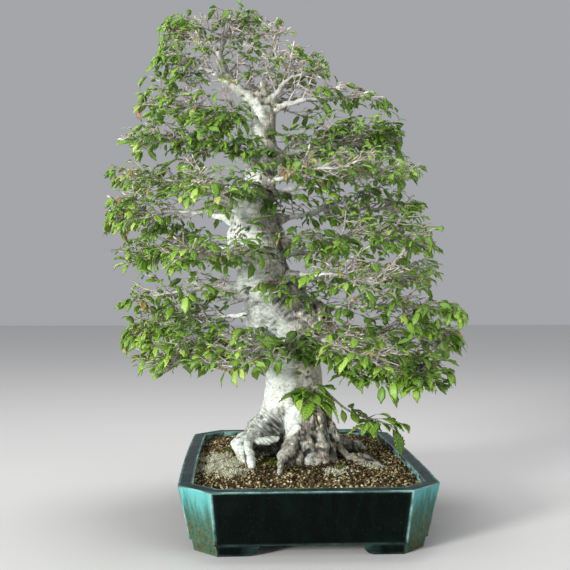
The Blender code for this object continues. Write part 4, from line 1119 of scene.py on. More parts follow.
# Thin shoots: x, y, z, radius
lowShoot = metres((
    (31, -10, 199, 2.2), (56, -18, 174, 1.9), (80, -24, 157, 1.6), (112, -30, 147, 1.4), (138, -36, 139, 1.1),
))
faceSprout = metres((
    (12, -36, 216, 2), (17, -56, 206, 1.7), (12, -70, 196, 1.4), (18, -82, 186, 1.1),
))


def limbFoot(name):
    # Where a limb starts, and how thick the wood is there
    first = allLimbs[name][0]
    if name in crownRows:
        return Vector(leaderPath[first][:3]), leaderPath[first][3]
    return trunkAt(first)


def limbPath(number, name):
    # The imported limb's own course, drawn finely, with its radius at each point
    spec = limbSpec
    *tip, rootRadius = allLimbs[name][1:]
    start = limbFoot(name)[0]
    run = Vector(tip) - start
    level = Vector((run.x, run.y, 0))
    side = Vector((-level.y, level.x, 0)).normalized()
    rise = spec["rise"] * level.length
    knots, radii = [], []
    for step in range(spec["points"]):
        t = step / (spec["points"] - 1)
        hump = math.sin(t * math.pi)
        sway = spec["sway"] * hump * math.sin(7.1 * t + 6.28 * scatterNumber(number, 1))
        kink = 0.35 * spec["sway"] * (scatterNumber(number, step, 5) - 0.5) * hump
        knots.append(start + run * t + side * sway + Vector((0, 0, rise * hump + kink)))
    bare, join = spec["bareShare"], spec["joinRadius"]
    for step in range(spec["finePoints"]):
        t = step / (spec["finePoints"] - 1)
        if t < bare:
            radii.append(rootRadius + (join - rootRadius) * (t / bare) ** 0.8)
        else:
            radii.append(join + (spec["tipRadius"] - join) * ((t - bare) / (1 - bare)) ** 0.7)
    return curveThrough(knots, spec["finePoints"]), radii


def limbWood(number, name):
    # The limb as grown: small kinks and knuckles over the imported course
    points, radii = limbPath(number, name)
    picks = random.Random(limbSpec["seed"] + number)
    made, thick = [], []
    for i, (point, radius) in enumerate(zip(points, radii)):
        t = i / (len(points) - 1)
        wander = limbSpec["wander"] * math.sin(math.pi * min(1.0, t * 1.1)) + 0.0002
        offset = Vector([noise.noise(Vector((t * scale, number, seed)))
                         for scale, seed in ((11, 0), (11, 7), (13, 14))])
        made.append(point + offset * wander * 2.0)
        knuckle = 1 + 0.16 * noise.noise(Vector((t * 34, number * 3.1, 3))) + 0.10 * picks.uniform(-1, 1)
        thick.append(radius * knuckle * (1.10 - 0.10 * t))
    return made, thick


limbCourses = {name: limbWood(number, name) for number, name in enumerate(allLimbs)}


def edgesOf(mesh):
    flat = np.empty(len(mesh.edges) * 2, np.int64)
    mesh.edges.foreach_get("vertices", flat)
    return flat.reshape(-1, 2)


def relax(coords, edges, rounds, weight, back):
    # Evens the surface without shrinking it
    count = len(coords)
    degree = np.bincount(edges.ravel(), minlength=count).astype(float)
    degree[degree == 0] = 1
    for _ in range(rounds):
        for share in (weight, back):
            total = np.zeros_like(coords)
            for axis in range(3):
                total[:, axis] = (np.bincount(edges[:, 0], coords[edges[:, 1], axis], count)
                                  + np.bincount(edges[:, 1], coords[edges[:, 0], axis], count))
            coords = coords + (total / degree[:, None] - coords) * share
    return coords


def sculptTrunk(mesh, spec):
    # Wrinkles, flutes, knots and pits in the bark, as real relief
    coords = relax(coordsOf(mesh), edgesOf(mesh), spec["evenRounds"], 0.55, -0.57)
    setCoords(mesh, coords)
    normals = normalsOf(mesh)
    x, y, z = coords.T

    def inX(low, high):
        return smoothStep(low, high, x)

    def inY(low, high):
        return smoothStep(low, high, y)

    def inZ(low, high):
        return smoothStep(low, high, z)

    def slantNoise(first, second, third, seed):
        return noiseAt(np.stack([first, second, third], axis=1), 1.0, seed)

    # The axis goes on along the leader
    axis = [row for row in trunkProfile if row[0] < 0.630] + [(p[2], p[0], p[1], p[3]) for p in leaderPath[1:]]
    heights, *courses = zip(*axis)
    axisX, axisY, body = (np.interp(z, heights, course) for course in courses)
    away = np.hypot(x - axisX, y - axisY)
    angle = np.arctan2(y - axisY, x - axisX)
    onTrunk = smoothStep(2.2, 1.3, away / body)
    crownWood = inZ(0.615, 0.640)

    lumps = noiseAt(coords, 26.0, 2.2) * 0.0026 + noiseAt(coords, 62.0, 4.4) * 0.0013
    flutes = slantNoise(np.cos(angle) * 4.6, np.sin(angle) * 4.6, z * 9.0, 6.1)
    flutes = (1 - 2 * np.abs(flutes)) * 0.0019 * inZ(0.235, 0.120) * onTrunk
    # Slanting combed wrinkles on the left shoulder
    combs = slantNoise((x + z) * 150.0, y * 60.0, (z - x) * 36.0, 9.4)
    combs = (0.4 - np.abs(combs)) * 0.0011 * inZ(0.176, 0.150) * inX(-0.018, -0.040)
    combs *= inZ(0.098, 0.116) * inY(-0.080, -0.064) * (y < 0.04)
    # Upright furrows low on the brown right half
    furrows = noiseAt(coords, (88.0, 88.0, 20.0), 7.2) + 0.6 * noiseAt(coords, (170.0, 170.0, 46.0), 2.9)
    furrows = (0.30 - np.abs(furrows)) * 0.0030 * inZ(0.200, 0.150) * inX(-0.030, 0.000)
    foldZone = inZ(0.215, 0.250) * inZ(0.47, 0.40) * (0.45 + 0.55 * inX(-0.02, -0.05))
    folds = (0.35 - np.abs(noiseAt(coords, (34.0, 34.0, 165.0), 3.3))) * 0.0017 * foldZone * onTrunk
    # Slanting grooves on the swelling above the waist
    grooves = slantNoise((x - z) * 105.0, y * 40.0, (x + z) * 16.0, 4.3)
    grooves = (0.30 - np.abs(grooves)) * 0.0024 * inZ(0.272, 0.290) * inZ(0.350, 0.330)
    folds += grooves * inX(-0.012, -0.030) * (y < 0.02)
    skin = noiseAt(coords, (150.0, 150.0, 210.0), 1.2) * 0.00045 + noiseAt(coords, 330.0, 7.7) * 0.00028
    rootSkin = (0.35 - np.abs(noiseAt(coords, 105.0, 5.9))) * 0.0024 * inZ(0.155, 0.110)
    # Knobs on the brown mass, and little relief on the thin ends of the roots
    knobs = noiseAt(coords, 74.0, 3.7) * 0.0030 + noiseAt(coords, 150.0, 1.9) * 0.0014
    knobs *= inZ(0.160, 0.128) * inX(-0.030, -0.010)
    thin = np.clip(away / 0.02, 0.35, 1.0)
    heel = inX(-0.072, -0.086) * inY(-0.085, -0.065)
    slim = 1 - 0.72 * smoothStep(0.062, 0.098, away) * (z < 0.14) * (1 - 0.55 * heel)
    relief = (lumps * thin + flutes + combs + furrows + folds + rootSkin + knobs) * slim + skin
    holeX, holeY, holeZ, holeReach = spec["burlHoles"]
    burl = np.exp(-((x - holeX) ** 2 + (y - holeY) ** 2 + (z - holeZ) ** 2) / holeReach ** 2)
    holes = smoothStep(0.10, 0.34, noiseAt(coords, (210.0, 210.0, 150.0), 6.6)) * smoothStep(0.20, 0.60, burl)
    relief += noiseAt(coords, 120.0, 2.4) * 0.0022 * burl - 0.0018 * holes
    relief += (noiseAt(coords, 95.0, 5.2) * 0.0022 + noiseAt(coords, 190.0, 8.1) * 0.0010) * crownWood
    # Where the holes and pits get painted shade
    pit = holes * 0.85
    for eyeX, eyeY, eyeZ, radius, depth, raised in spec["eyes"]:
        gap = np.sqrt((x - eyeX) ** 2 + ((y - eyeY) * 0.4) ** 2 + (z - eyeZ) ** 2)
        relief -= depth * smoothStep(radius * 1.25, radius * 0.35, gap)
        relief += raised * np.exp(-((gap - radius * 1.9) / (radius * 0.8)) ** 2)
        pit = np.maximum(pit, smoothStep(radius * 1.1, radius * 0.4, gap))
    coords = coords + normals * relief[:, None]
    # The heel narrows to its foot
    heelX, heelY, heelDrawn = spec["heel"]
    drawn = heelDrawn * inX(heelX + 0.016, heelX - 0.004) * inZ(0.118, 0.086)
    drawn *= inY(-0.100, -0.075) * inY(0.066, 0.040)
    coords[:, 0] += (heelX - coords[:, 0]) * drawn
    coords[:, 1] += (heelY - coords[:, 1]) * drawn * 0.6
    setCoords(mesh, coords)

    # How far each point lies under its neighbourhood: painted shade in the creases, a painted highlight on the ridges
    wide = relax(coords, edgesOf(mesh), 7, 0.6, 0.0)
    hollow = ((wide - coords) * normalsOf(mesh)).sum(axis=1) / spec["creaseDepth"]
    # Smooth white bark on the left face, browner and rougher bark on the right; the right's brown is partly the bark's
    # own colour and partly painted shade on the side away from the key light
    turned = ((x - axisX) - 0.25 * (y - axisY)) / body
    turned = turned + 0.55 * inZ(0.168, 0.130) * inX(-0.050, -0.034)
    waist = inZ(0.150, 0.175) * inZ(0.285, 0.260)
    spread = np.clip((turned + 0.05 - 0.13 * waist) / (0.65 - 0.37 * waist), 0, 1)
    right = spread * spread * (3 - 2 * spread) * (0.90 + 0.10 * inZ(0.24, 0.17))
    limit = -0.016 + 0.013 * inZ(0.180, 0.166) - 0.049 * inZ(0.142, 0.112)
    limit -= 1.6 * np.maximum(z - 0.25, 0)
    right = right * np.maximum(smoothStep(limit - 0.002, limit + 0.003, x), crownWood)
    right = np.maximum(right, 0.36 * crownWood)
    low = inZ(0.112, 0.094) * inX(-0.062, -0.040)
    # Combed wrinkles on the left shoulder and across the roots
    combed = inX(-0.020, -0.036) * inZ(0.172, 0.156) * inZ(0.090, 0.110)
    combed *= smoothStep(0.100, 0.088, away) * (0.35 + 0.65 * inX(-0.092, -0.078))
    middle = inZ(0.285, 0.300) * inZ(0.345, 0.330) * inX(-0.010, -0.026)
    # Soft spots of painted shade in the root hollow and the gaps beside it
    spotShade = np.zeros(len(coords))
    rough = 1 + 0.30 * noiseAt(coords, 120.0, 4.7)
    for shadeX, shadeY, shadeZ, radius, darkness in spec["shadeSpots"]:
        gap = np.sqrt((x - shadeX) ** 2 + ((y - shadeY) * 0.5) ** 2 + (z - shadeZ) ** 2) * rough
        spotShade = np.maximum(spotShade, darkness * smoothStep(radius * 1.25, radius * 0.55, gap))
    for name, values in (
        ("hollow", np.clip(0.5 + hollow * 0.5, 0, 1)), ("pit", pit), ("brown", np.clip(right + 0.45 * low, 0, 1)),
        ("combed", np.clip(combed + 0.5 * middle, 0, 1) * (y < 0.05) * (1 - spotShade)), ("spotShade", spotShade),
    ):
        setData(mesh, name, values)


def addCollar(bm, name, count=12):
    # Where a limb leaves; past the bark the collar dives inside the limb itself
    points, radii = limbCourses[name]
    woodRadius = limbFoot(name)[1]
    length = (points[-1] - points[0]).length
    inner = woodRadius * 0.75 / length
    outer = min(0.30, (woodRadius + limbSpec["collarSpread"]) / length)
    collar, thick = [], []
    for k in range(count):
        t = k / (count - 1)
        place = (inner + (outer - inner) * t) * (len(points) - 1)
        i = min(int(place), len(points) - 2)
        collar.append(points[i].lerp(points[i + 1], place - i))
        swell = (0.75 if points[0].z > limbSpec["highFrom"] else 1.95) * (1 - t) ** 1.5 + 0.80
        thick.append(min(radii[i] * swell, max(woodRadius * 0.62, radii[i])))
    addTube(bm, collar, thick, 12)


def makeTrunk(spec, bark):
    bm = bmesh.new()
    picks = random.Random(spec["seed"])
    loftRings(bm, trunkRings())
    for row in rootRows:
        addRoot(bm, row, picks)
    for course in rootCourses:
        addGnarled(bm, *courseThrough(course, 5 * len(course)), picks)
    for row in sinewRows:
        addSinew(bm, row)
    for x, y, z, radius, *squash in spec["burls"]:
        bmesh.ops.create_icosphere(bm, subdivisions=3, radius=radius, matrix=Matrix.Translation((x, y, z))
                                   @ Matrix.Diagonal((*squash, 1.0)))
    # Bends everything so far a little, so that no part of it stays round or straight
    noise.seed_set(spec["warpSeed"])
    for vert in bm.verts:
        for scale, amount in spec["warp"]:
            vert.co += noise.noise_vector(vert.co * scale + Vector((scale, 0, 0))) * amount
    addTube(bm, *courseThrough(leaderPath, 30), 14)
    for name in allLimbs:
        addCollar(bm, name)
    trunk = addPiece("trunkWood", closedMesh("trunkWood", bm))
    addModifier(trunk, "REMESH", mode="VOXEL", voxel_size=spec["voxel"])
    bakeModifiers(trunk)
    sculptTrunk(trunk.data, spec)
    trunk.data.shade_smooth()
    trunk.data.materials.append(bark)
    finishPiece(trunk, "trunk")
    print("trunk:", triangleCount(trunk), "triangles")


def barkMaterial():
    p = Paint("beechBark")
    height = p.height()
    rise, tall = p.span(height, 0.08, 0.38), p.span(height, 0.08, 0.70)
    brown, combed, hollow = p.value("brown"), p.value("combed"), p.value("hollow")
    fine = p.noise(240.0, 4.0, 0.6)
    colour = p.cloud((19.0, 5.0, 0.6, (1, 1, 0.8), 0.3), (0.28, (0.300, 0.300, 0.240)), (0.36, (0.640, 0.660, 0.590)),
                     (0.48, (0.790, 0.840, 0.755)), (0.74, (0.860, 0.915, 0.840)))
    brownAndShadeTone = p.cloud((48.0, 5.0, 0.62, (1, 1, 0.6)), (0.34, (0.070, 0.050, 0.034)), (0.50, (0.225, 0.180, 0.124)),
                        (0.66, (0.520, 0.455, 0.345)))
    # Dark low down on the gnarled mass, palest at the waist above it
    brownAndShadeTone = p.shade(1.0, brownAndShadeTone, p.ramp(rise, (0.10, 0.58), (0.24, 0.78), (0.36, 2.20), (0.58, 2.05),
                                               (0.74, 0.74)))
    brownAndShadeTone = p.shade(0.75, brownAndShadeTone, p.cloud((430.0, 3.0, 0.6, (1, 1, 0.6), 0.3), (0.37, 0.30), (0.50, 0.95),
                                                 (0.62, 1.80)))
    brownAndShadeTone = p.shade(0.9, brownAndShadeTone, p.cloud((165.0, 4.0, 0.6, (1, 1, 0.7), 0.4), (0.38, 0.20), (0.48, 0.90),
                                                (0.62, 1.95)))
    brownAndShadeTone = p.mix(p.ramp(rise, (0.28, 0.0), (0.37, 0.62), (0.56, 0.62), (0.66, 0.0)), brownAndShadeTone,
                      (0.560, 0.520, 0.450))
    colour = p.shade(1.0, colour, p.ramp(tall, (0.05, 0.84), (0.20, 1.0), (0.28, 0.96), (0.36, 0.66), (0.55, 0.72),
                                         (0.84, 1.0), (0.92, 0.82)))
    colour = p.shade(0.68, colour, p.cloud((130.0, 4.0, 0.62, (1, 1, 2.6), 0.6), (0.36, 0.50), (0.48, 0.92),
                                           (0.64, 1.12)))
    # The right side: its own brown with painted shade
    colour = p.mix(p.times(brown, p.cloud((30.0, 4.0), (0.30, 0.35), (0.65, 1.0))), colour, brownAndShadeTone)
    # Faint green film and dark lenticels
    film = p.times(p.cloud((36.0, 4.0, 0.6), (0.56, 0.0), (0.72, 1.0)), 0.35)
    colour = p.mix(film, colour, (0.260, 0.290, 0.160))
    spots = p.times(p.ramp(p.cells("Distance", 150.0, (1, 1, 1.5)), (0.10, 1.0), (0.20, 0.0)),
                    p.cloud((70.0,), (0.42, 0.0), (0.58, 0.85)))
    colour = p.mix(spots, colour, (0.145, 0.120, 0.085))
    # Painted shade in the creases and a painted highlight on the ridges, with deeper painted shade on the brown side
    colour = p.shade(1.0, colour, p.ramp(hollow, (0.30, 1.18), (0.50, 1.0), (0.68, 0.60), (0.88, 0.24)))
    colour = p.shade(brown, colour, p.ramp(hollow, (0.34, 1.30), (0.50, 1.0), (0.62, 0.45)))
    # Painted shade inside the pits and the burl's holes
    colour = p.mix(p.value("pit"), colour, (0.055, 0.045, 0.032))
    colour = p.shade(0.5, colour, p.ramp(fine, (0.3, 0.70), (0.7, 1.20)))
    # Greyer on the creased shoulder: painted shade
    shoulderShade = p.cloud((85.0, 5.0, 0.65, (1, 1, 1), 0.5), (0.36, 0.34), (0.50, 0.66), (0.64, 0.98))
    colour = p.shade(p.times(combed, 0.80), colour, shoulderShade)
    # Painted shade in fine slanting wrinkles where the bark is combed, and in upright cracks on the brown half
    slanted = p.add("ShaderNodeMapping", "Vector", {"Vector": p.place(), "Rotation": (0.0, -0.80, 0.0),
                                                    "Scale": (1.0, 2.0, 7.0)}, vector_type="TEXTURE")
    combLines = p.add("ShaderNodeTexNoise", "Fac", {"Vector": slanted, "Scale": 330.0, "Detail": 2.0,
                                                    "Roughness": 0.5})
    combShade = p.times(p.ramp(combLines, (0.40, 1.0), (0.54, 0.0)), combed)
    crackShade = p.times(p.cloud((260.0, 3.0, 0.55, (1, 1, 0.16)), (0.36, 1.0), (0.50, 0.0)), brown)
    crackShade = p.times(crackShade, p.ramp(rise, (0.28, 1.0), (0.37, 0.4), (0.56, 0.4), (0.66, 1.0)))
    grooveShade = p.calc("MAXIMUM", combShade, crackShade)
    colour = p.mix(p.times(grooveShade, 0.52), colour, (0.070, 0.058, 0.040))
    # Painted shade in those spots, broken a little by the fine wrinkles
    spotShade = p.times(p.value("spotShade"), p.ramp(combLines, (0.47, 0.97), (0.58, 0.68)))
    colour = p.mix(spotShade, colour, (0.020, 0.018, 0.012))
    relief = p.calc("SUBTRACT", p.calc("ADD", fine, p.times(spots, -0.6)), p.times(grooveShade, 1.4))
    return p.finish(colour, p.ramp(fine, (0.3, 0.62), (0.7, 0.85)), (relief, 0.6, 0.0010),
                    {"Specular IOR Level": 0.35})


def limbMaterial():
    # One bark from thick pale limbs to thin grey-brown twigs, by the wood's own radius
    p = Paint("limbBark")
    patch = p.noise(120.0, 4.0, 0.6)
    pale = p.ramp(patch, (0.30, (0.400, 0.380, 0.330)), (0.44, (0.760, 0.765, 0.720)), (0.62, (0.900, 0.910, 0.870)))
    pale = p.shade(1.0, pale, p.ramp(p.height(), (0.58, 1.0), (0.66, 0.52)))
    twig = p.cloud((55.0, 3.0), (0.32, (0.260, 0.205, 0.170)), (0.50, (0.480, 0.430, 0.385)),
                   (0.68, (0.720, 0.690, 0.650)))
    colour = p.mix(p.span(p.value("girth"), 0.0006, 0.0042), twig, pale)
    colour = p.shade(0.8, colour, p.cloud((480.0, 2.0), (0.58, 1.0), (0.70, 0.45)))
    return p.finish(colour, 0.72, (patch, 0.5, 0.0008), {"Specular IOR Level": 0.35})


makeTrunk(trunkSpec, barkMaterial())
limbBark = limbMaterial()


# Leaves and buds

leafSpec = {
    "blade": 0.0310,
    "width": 0.0142,
    "stalk": 0.0044,
    "stalkWidth": 0.0007,
    "thickness": 0.00028,
    "rows": 5,
    "bigRows": 15,
    "pleat": 0.0009,
    "edgeCurl": 0.0012,
}
# Half width along the blade, from the stalk to the tip
leafPlaces = (0.0, 0.10, 0.20, 0.30, 0.42, 0.55, 0.68, 0.80, 0.90, 1.0)
leafProfile = (0.06, 0.46, 0.76, 0.94, 1.0, 0.92, 0.70, 0.41, 0.16, 0.0)

# Leaf forms: length, width, how far it arches (radians), fold, twist, pleat strength
leafForms = (
    (1.00, 1.00, 0.75, 0.30, 0.20, 1.0), (1.08, 1.04, 1.10, 0.18, -0.30, 0.9), (0.94, 0.92, 0.50, 0.48, 0.35, 1.1),
    (1.04, 0.78, 1.50, 0.55, -0.20, 1.3), (0.88, 1.10, 0.90, 0.10, 0.15, 0.8), (0.80, 0.50, 1.20, 0.95, 0.20, 1.5),
    (1.00, 1.12, 0.55, 0.22, 0.15, 1.1), (1.06, 1.05, 0.95, 0.40, -0.20, 1.2),
)
bigLeaves = (6, 7)


def leafMesh(name, form, spec, rows):
    # A closed pleated blade on a short stalk along +X; uv: along the blade and across it, 2 more underneath
    longer, wider, arch, fold, twist, pleating = form
    blade, width = spec["blade"] * longer, spec["width"] * wider
    bm = bmesh.new()
    uvLayer = bm.loops.layers.uv.new("blade")
    uvOf, top, under = {}, [], []

    def bladePoint(t, v, i):
        shape = np.interp(t, leafPlaces, leafProfile)
        ridge = (1 if i % 2 else -1) * (0.4 + 0.6 * shape)
        sideways = v * width / 2 * shape * (1 + 0.09 * ridge * abs(v))
        far = min(1.0, t + 0.15 * abs(v) * (1 - t) * shape)
        raised = ridge * spec["pleat"] * pleating * abs(v) ** 0.6 * (1 - 0.5 * v * v)
        raised += fold * abs(sideways) - spec["edgeCurl"] * v ** 4
        raised += math.sin(twist * t) * sideways
        bend = arch * far
        along = blade * math.sin(bend) / arch + raised * math.sin(bend)
        height = -blade * (1 - math.cos(bend)) / arch + raised * math.cos(bend)
        vert = bm.verts.new((spec["stalk"] + along, sideways, height))
        uvOf[vert] = (t, (v + 1) / 2)
        return vert

    for i in range(rows + 1):
        t = i / rows
        if i in (0, rows):
            vert = bladePoint(t, 0.0, i)
            top.append([vert] * 5)
            under.append([vert] * 3)
            continue
        upper = [bladePoint(t, v, i) for v in (-1.0, -0.5, 0.0, 0.5, 1.0)]
        keel = bm.verts.new(upper[2].co - Vector((0, 0, spec["thickness"])))
        uvOf[keel] = (t, 0.5)
        top.append(upper)
        under.append([upper[0], keel, upper[4]])
    for sheet, shift in ((top, 0.0), (under, 2.0)):
        for low, high in zip(sheet, sheet[1:]):
            for j in range(len(low) - 1):
                quad = list(dict.fromkeys([low[j], high[j], high[j + 1], low[j + 1]]))
                if not shift:
                    quad.reverse()
                for loop in bm.faces.new(quad).loops:
                    u, v = uvOf[loop.vert]
                    loop[uvLayer].uv = (u + shift, v)
    half = spec["stalkWidth"] / 2
    base = [bm.verts.new((0, a, b)) for a, b in ((-half, -half), (half, -half), (0, half))]
    neck = [bm.verts.new((spec["stalk"] + blade * 0.08, v.co.y * 0.7, v.co.z * 0.7 - 0.0002)) for v in base]
    sides = [(base[i], base[(i + 1) % 3], neck[(i + 1) % 3], neck[i]) for i in range(3)]
    for corners in (*sides, list(reversed(base)), neck):
        for loop in bm.faces.new(corners).loops:
            loop[uvLayer].uv = (0.02, 0.5)
    return closedMesh(name, bm)


def budMesh(name):
    # A slim pointed bud along +X, one unit long
    bm = bmesh.new()
    addTube(bm, [Vector((x, 0, 0)) for x in (-0.04, 0.36, 0.74, 1.0)], [0.07, 0.17, 0.12, 0.012], 4)
    return closedMesh(name, bm)


def foliageTree():
    # Wood from edges with a girth, and leaves and buds on loose points, which carry their own turn and size
    g = Growth("growFoliage", {
        "Leaf Shapes": "Collection", "Bud Shapes": "Collection", "Twig Sides": "Int", "Wood Finish": "Material",
        "Leaf Finish": "Material", "Bud Finish": "Material"})
    everything = g.given["Geometry"]

    def isKind(value):
        return g.add("FunctionNodeCompare", "Result", {"A_INT": g.named("kind", "INT"), "B_INT": value},
                     data_type="INT", operation="EQUAL")

    wood = g.add("GeometryNodeSeparateGeometry", "Selection", {"Geometry": everything, "Selection": isKind(0)})
    curves = g.add("GeometryNodeMeshToCurve", "Curve", {"Mesh": wood})
    ring = g.add("GeometryNodeCurvePrimitiveCircle", "Curve", {"Resolution": g.given["Twig Sides"], "Radius": 1.0})
    skin = g.add("GeometryNodeCurveToMesh", "Mesh", {"Curve": curves, "Profile Curve": ring,
                                                     "Scale": g.named("girth"), "Fill Caps": True})
    parts = [g.painted(skin, "Wood Finish")]
    for kind, shapes, finish in ((1, "Leaf Shapes", "Leaf Finish"), (2, "Bud Shapes", "Bud Finish")):
        placed = g.stand(everything, isKind(kind), shapes, g.named("shape", "INT"), g.named("turn", "FLOAT_VECTOR"),
                         g.named("size"))
        parts.append(g.real(placed, finish))
    joined = g.add("GeometryNodeJoinGeometry", "Geometry")
    for part in reversed(parts):
        g.feed(joined.node.inputs["Geometry"], part)
    g.feed(g.result, g.add("GeometryNodeSetShadeSmooth", "Geometry", {"Geometry": joined}))
    return g


def leafMaterial():
    p = Paint("youngLeaf")
    u = p.add("ShaderNodeSeparateXYZ", "X", {"Vector": p.add("ShaderNodeUVMap", "UV", uv_map="blade")})
    v = u.node.outputs["Y"]
    colour = p.ramp(p.value("tone"), (0.00, (0.038, 0.100, 0.008)), (0.25, (0.080, 0.200, 0.012)),
                    (0.50, (0.150, 0.330, 0.020)), (0.72, (0.250, 0.470, 0.040)), (0.86, (0.430, 0.620, 0.120)),
                    (0.93, (0.450, 0.340, 0.110)), (1.00, (0.350, 0.150, 0.085)))
    under = p.calc("GREATER_THAN", u, 1.5)
    along = p.calc("SUBTRACT", u, p.times(under, 2.0))
    off = p.calc("ABSOLUTE", p.calc("SUBTRACT", v, 0.5))
    rib = p.ramp(off, (0.0, 1.0), (0.045, 0.0))
    wave = p.calc("FRACT", p.times(p.calc("SUBTRACT", along, p.times(off, 0.25)), 9.0))
    veins = p.ramp(wave, (0.0, 1.0), (0.14, 0.0), (0.86, 0.0), (1.0, 1.0))
    lines = p.calc("MAXIMUM", rib, p.times(veins, 0.55))
    colour = p.mix(p.times(lines, 0.60), colour, (0.46, 0.58, 0.18))
    colour = p.shade(0.85, colour, p.ramp(wave, (0.0, 1.10), (0.5, 0.50), (1.0, 1.10)))
    mottle = p.noise(210.0, 3.0)
    colour = p.shade(0.5, colour, p.ramp(mottle, (0.3, 0.75), (0.7, 1.22)))
    colour = p.mix(p.times(under, 0.35), colour, (0.26, 0.36, 0.13))
    return p.finish(colour, p.ramp(mottle, (0.3, 0.36), (0.7, 0.52)),
                    (p.calc("SUBTRACT", mottle, lines), 0.35, 0.0004),
                    {"Specular IOR Level": 0.45, "Subsurface Weight": 0.25, "Subsurface Radius": (0.6, 1.0, 0.15),
                     "Subsurface Scale": 0.0015})


def budMaterial():
    p = Paint("budScale")
    colour = p.ramp(p.value("tone"), (0.0, (0.300, 0.180, 0.120)), (0.5, (0.520, 0.400, 0.320)),
                    (1.0, (0.780, 0.720, 0.640)))
    bands = p.noise(700.0, 3.0)
    return p.finish(p.shade(0.5, colour, p.ramp(bands, (0.3, 0.6), (0.7, 1.2))), 0.55, (bands, 0.3, 0.0003))


spraySpec = {
    "sides": 14,
    "sideLong": 0.084,
    "sideShort": 0.040,
    "sideSteps": 5,
    "sideGirth": 0.0017,
    "twigGirth": 0.00100,
    "endGirth": 0.00055,
    "twigShares": (0.20, 0.36, 0.50, 0.64, 0.78, 0.90),
    "leafSmall": 0.42,
    "leafRange": 0.56,
    "budLong": 0.0082,
    "bareTwigs": 4,
    "leaderShoots": 16,
    "bronzeShare": 0.05,
    "twigSides": 4,
    "spurChance": 0.26,
    "lowest": 0.182,
    "highFrom": 0.595,
    "seed": 1000,
}
# How leafy each limb is near the trunk and near its tip, where 1 is usual
leafiness = {
    "top_01": (0.7, 0.4), "top_02": (0.9, 0.5), "top_03": (0.3, 0.4), "crown_01": (2.1, 1.2),
    "crown_02": (1.6, 2.1), "crown_03": (1.7, 1.0), "back_01": (0.4, 0.3), "back_02": (0.3, 0.3),
    "back_03": (0.5, 0.5), "back_04": (0.4, 0.4), "left_01": (1.8, 1.6), "left_02": (1.3, 2.0),
    "left_03": (0.5, 1.0), "left_04": (1.4, 1.6), "left_05": (0.5, 2.6), "left_06": (0.9, 1.1),
    "left_07": (2.0, 0.4), "left_08": (1.1, 1.3), "right_01": (0.3, 3.5), "right_02": (0.2, 2.5),
    "right_03": (0.9, 2.1), "right_04": (0.5, 2.2), "right_05": (1.0, 2.1), "right_06": (0.7, 2.0),
    "right_07": (1.4, 1.2), "right_08": (2.1, 3.0), "right_09": (0.8, 1.7), "front_01": (1.0, 0.7),
    "front_02": (0.3, 0.8), "front_03": (0.4, 0.7), "front_06": (1.3, 0.3),
}
# Leafy shoots that lean over the trunk's face: how many, the lowest and highest pitch in degrees, how far out
# along the limb the nearest one starts, and by how many degrees they are turned from the shown side
coverShoots = {
    "front_01": (5, -50, 10, 0.10, 0), "front_02": (1, -25, 35, 0.10, 0), "front_03": (4, -50, -5, 0.18, -70),
    "front_04": (2, -25, 35, 0.10, 0), "front_05": (1, -25, 35, 0.10, 0), "front_06": (2, -35, 15, 0.10, 0),
    "left_02": (3, -50, -5, 0.10, 30), "left_04": (1, -40, 20, 0.10, 0), "left_07": (13, -25, 38, 0.10, -25),
    "left_08": (10, -40, 10, 0.16, -45), "right_01": (5, -45, 20, 0.10, 0), "right_03": (3, 0, 50, 0.10, 0),
    "right_04": (1, -25, 35, 0.10, 0), "right_05": (4, -20, 45, 0.10, 0), "right_06": (3, 10, 55, 0.10, 0),
    "right_07": (2, -35, 25, 0.10, 0), "right_08": (3, 20, 60, 0.16, 30),
}
# Side shoots that stand steeper or hang lower than usual, in degrees
shootLifts = {"right_08": 22, "right_09": -14, "left_05": -14, "right_06": 8, "left_01": 12, "left_02": -14,
              "left_06": -12, "left_08": 10}
# Lower limbs bear larger leaves
leafScales = {"right_01": 1.16, "right_02": 1.12, "left_01": 1.14, "left_02": 1.12, "front_02": 1.12, "left_08": 1.10}

# How far the crown reaches to the left and to the right at each height, as its front shows it
crownReach = metres((
    (100, -60, 170), (155, -100, 182), (178, -190, 215), (192, -223, 244), (211, -228, 252), (230, -267, 263),
    (249, -279, 273), (268, -278, 269), (287, -274, 248), (305, -282, 272), (324, -298, 262), (343, -262, 204),
    (362, -272, 213), (381, -312, 257), (400, -304, 257), (419, -315, 217), (438, -309, 210), (456, -306, 232),
    (475, -296, 232), (494, -300, 190), (513, -317, 165), (532, -314, 196), (551, -282, 194), (570, -264, 160),
    (588, -287, 167), (607, -286, 172), (626, -264, 168), (645, -246, 140), (664, -258, 118), (683, -254, 58),
    (702, -240, 42), (720, -220, 34), (739, -216, 28), (758, -224, 4), (777, -206, -52), (788, -190, -70),
))
reachHeights, reachLeft, reachRight = np.array(crownReach).T
boxSlack = 0.004
treeEye = Vector(viewSpec["cameraPlace"]) - placeShift


def isInside(place, slack=0.0):
    # Whether a place stays within the crown's front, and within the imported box
    nearer = -treeEye.y / (place.y - treeEye.y)
    across = treeEye.x + (place.x - treeEye.x) * nearer
    up = treeEye.z + (place.z - treeEye.z) * nearer
    left, right = np.interp(up, reachHeights, reachLeft), np.interp(up, reachHeights, reachRight)
    return (left - slack < across < right + slack and boxLow.y - slack < place.y < boxHigh.y + slack
            and boxLow.x - boxSlack < place.x < boxHigh.x + boxSlack and 0.10 < place.z < boxHigh.z + boxSlack)


def heading(yaw, pitch):
    return Vector((math.cos(yaw) * math.cos(pitch), math.sin(yaw) * math.cos(pitch), math.sin(pitch)))


def taper(first, last, count):
    return [first + (last - first) * k / (count - 1) for k in range(count)]


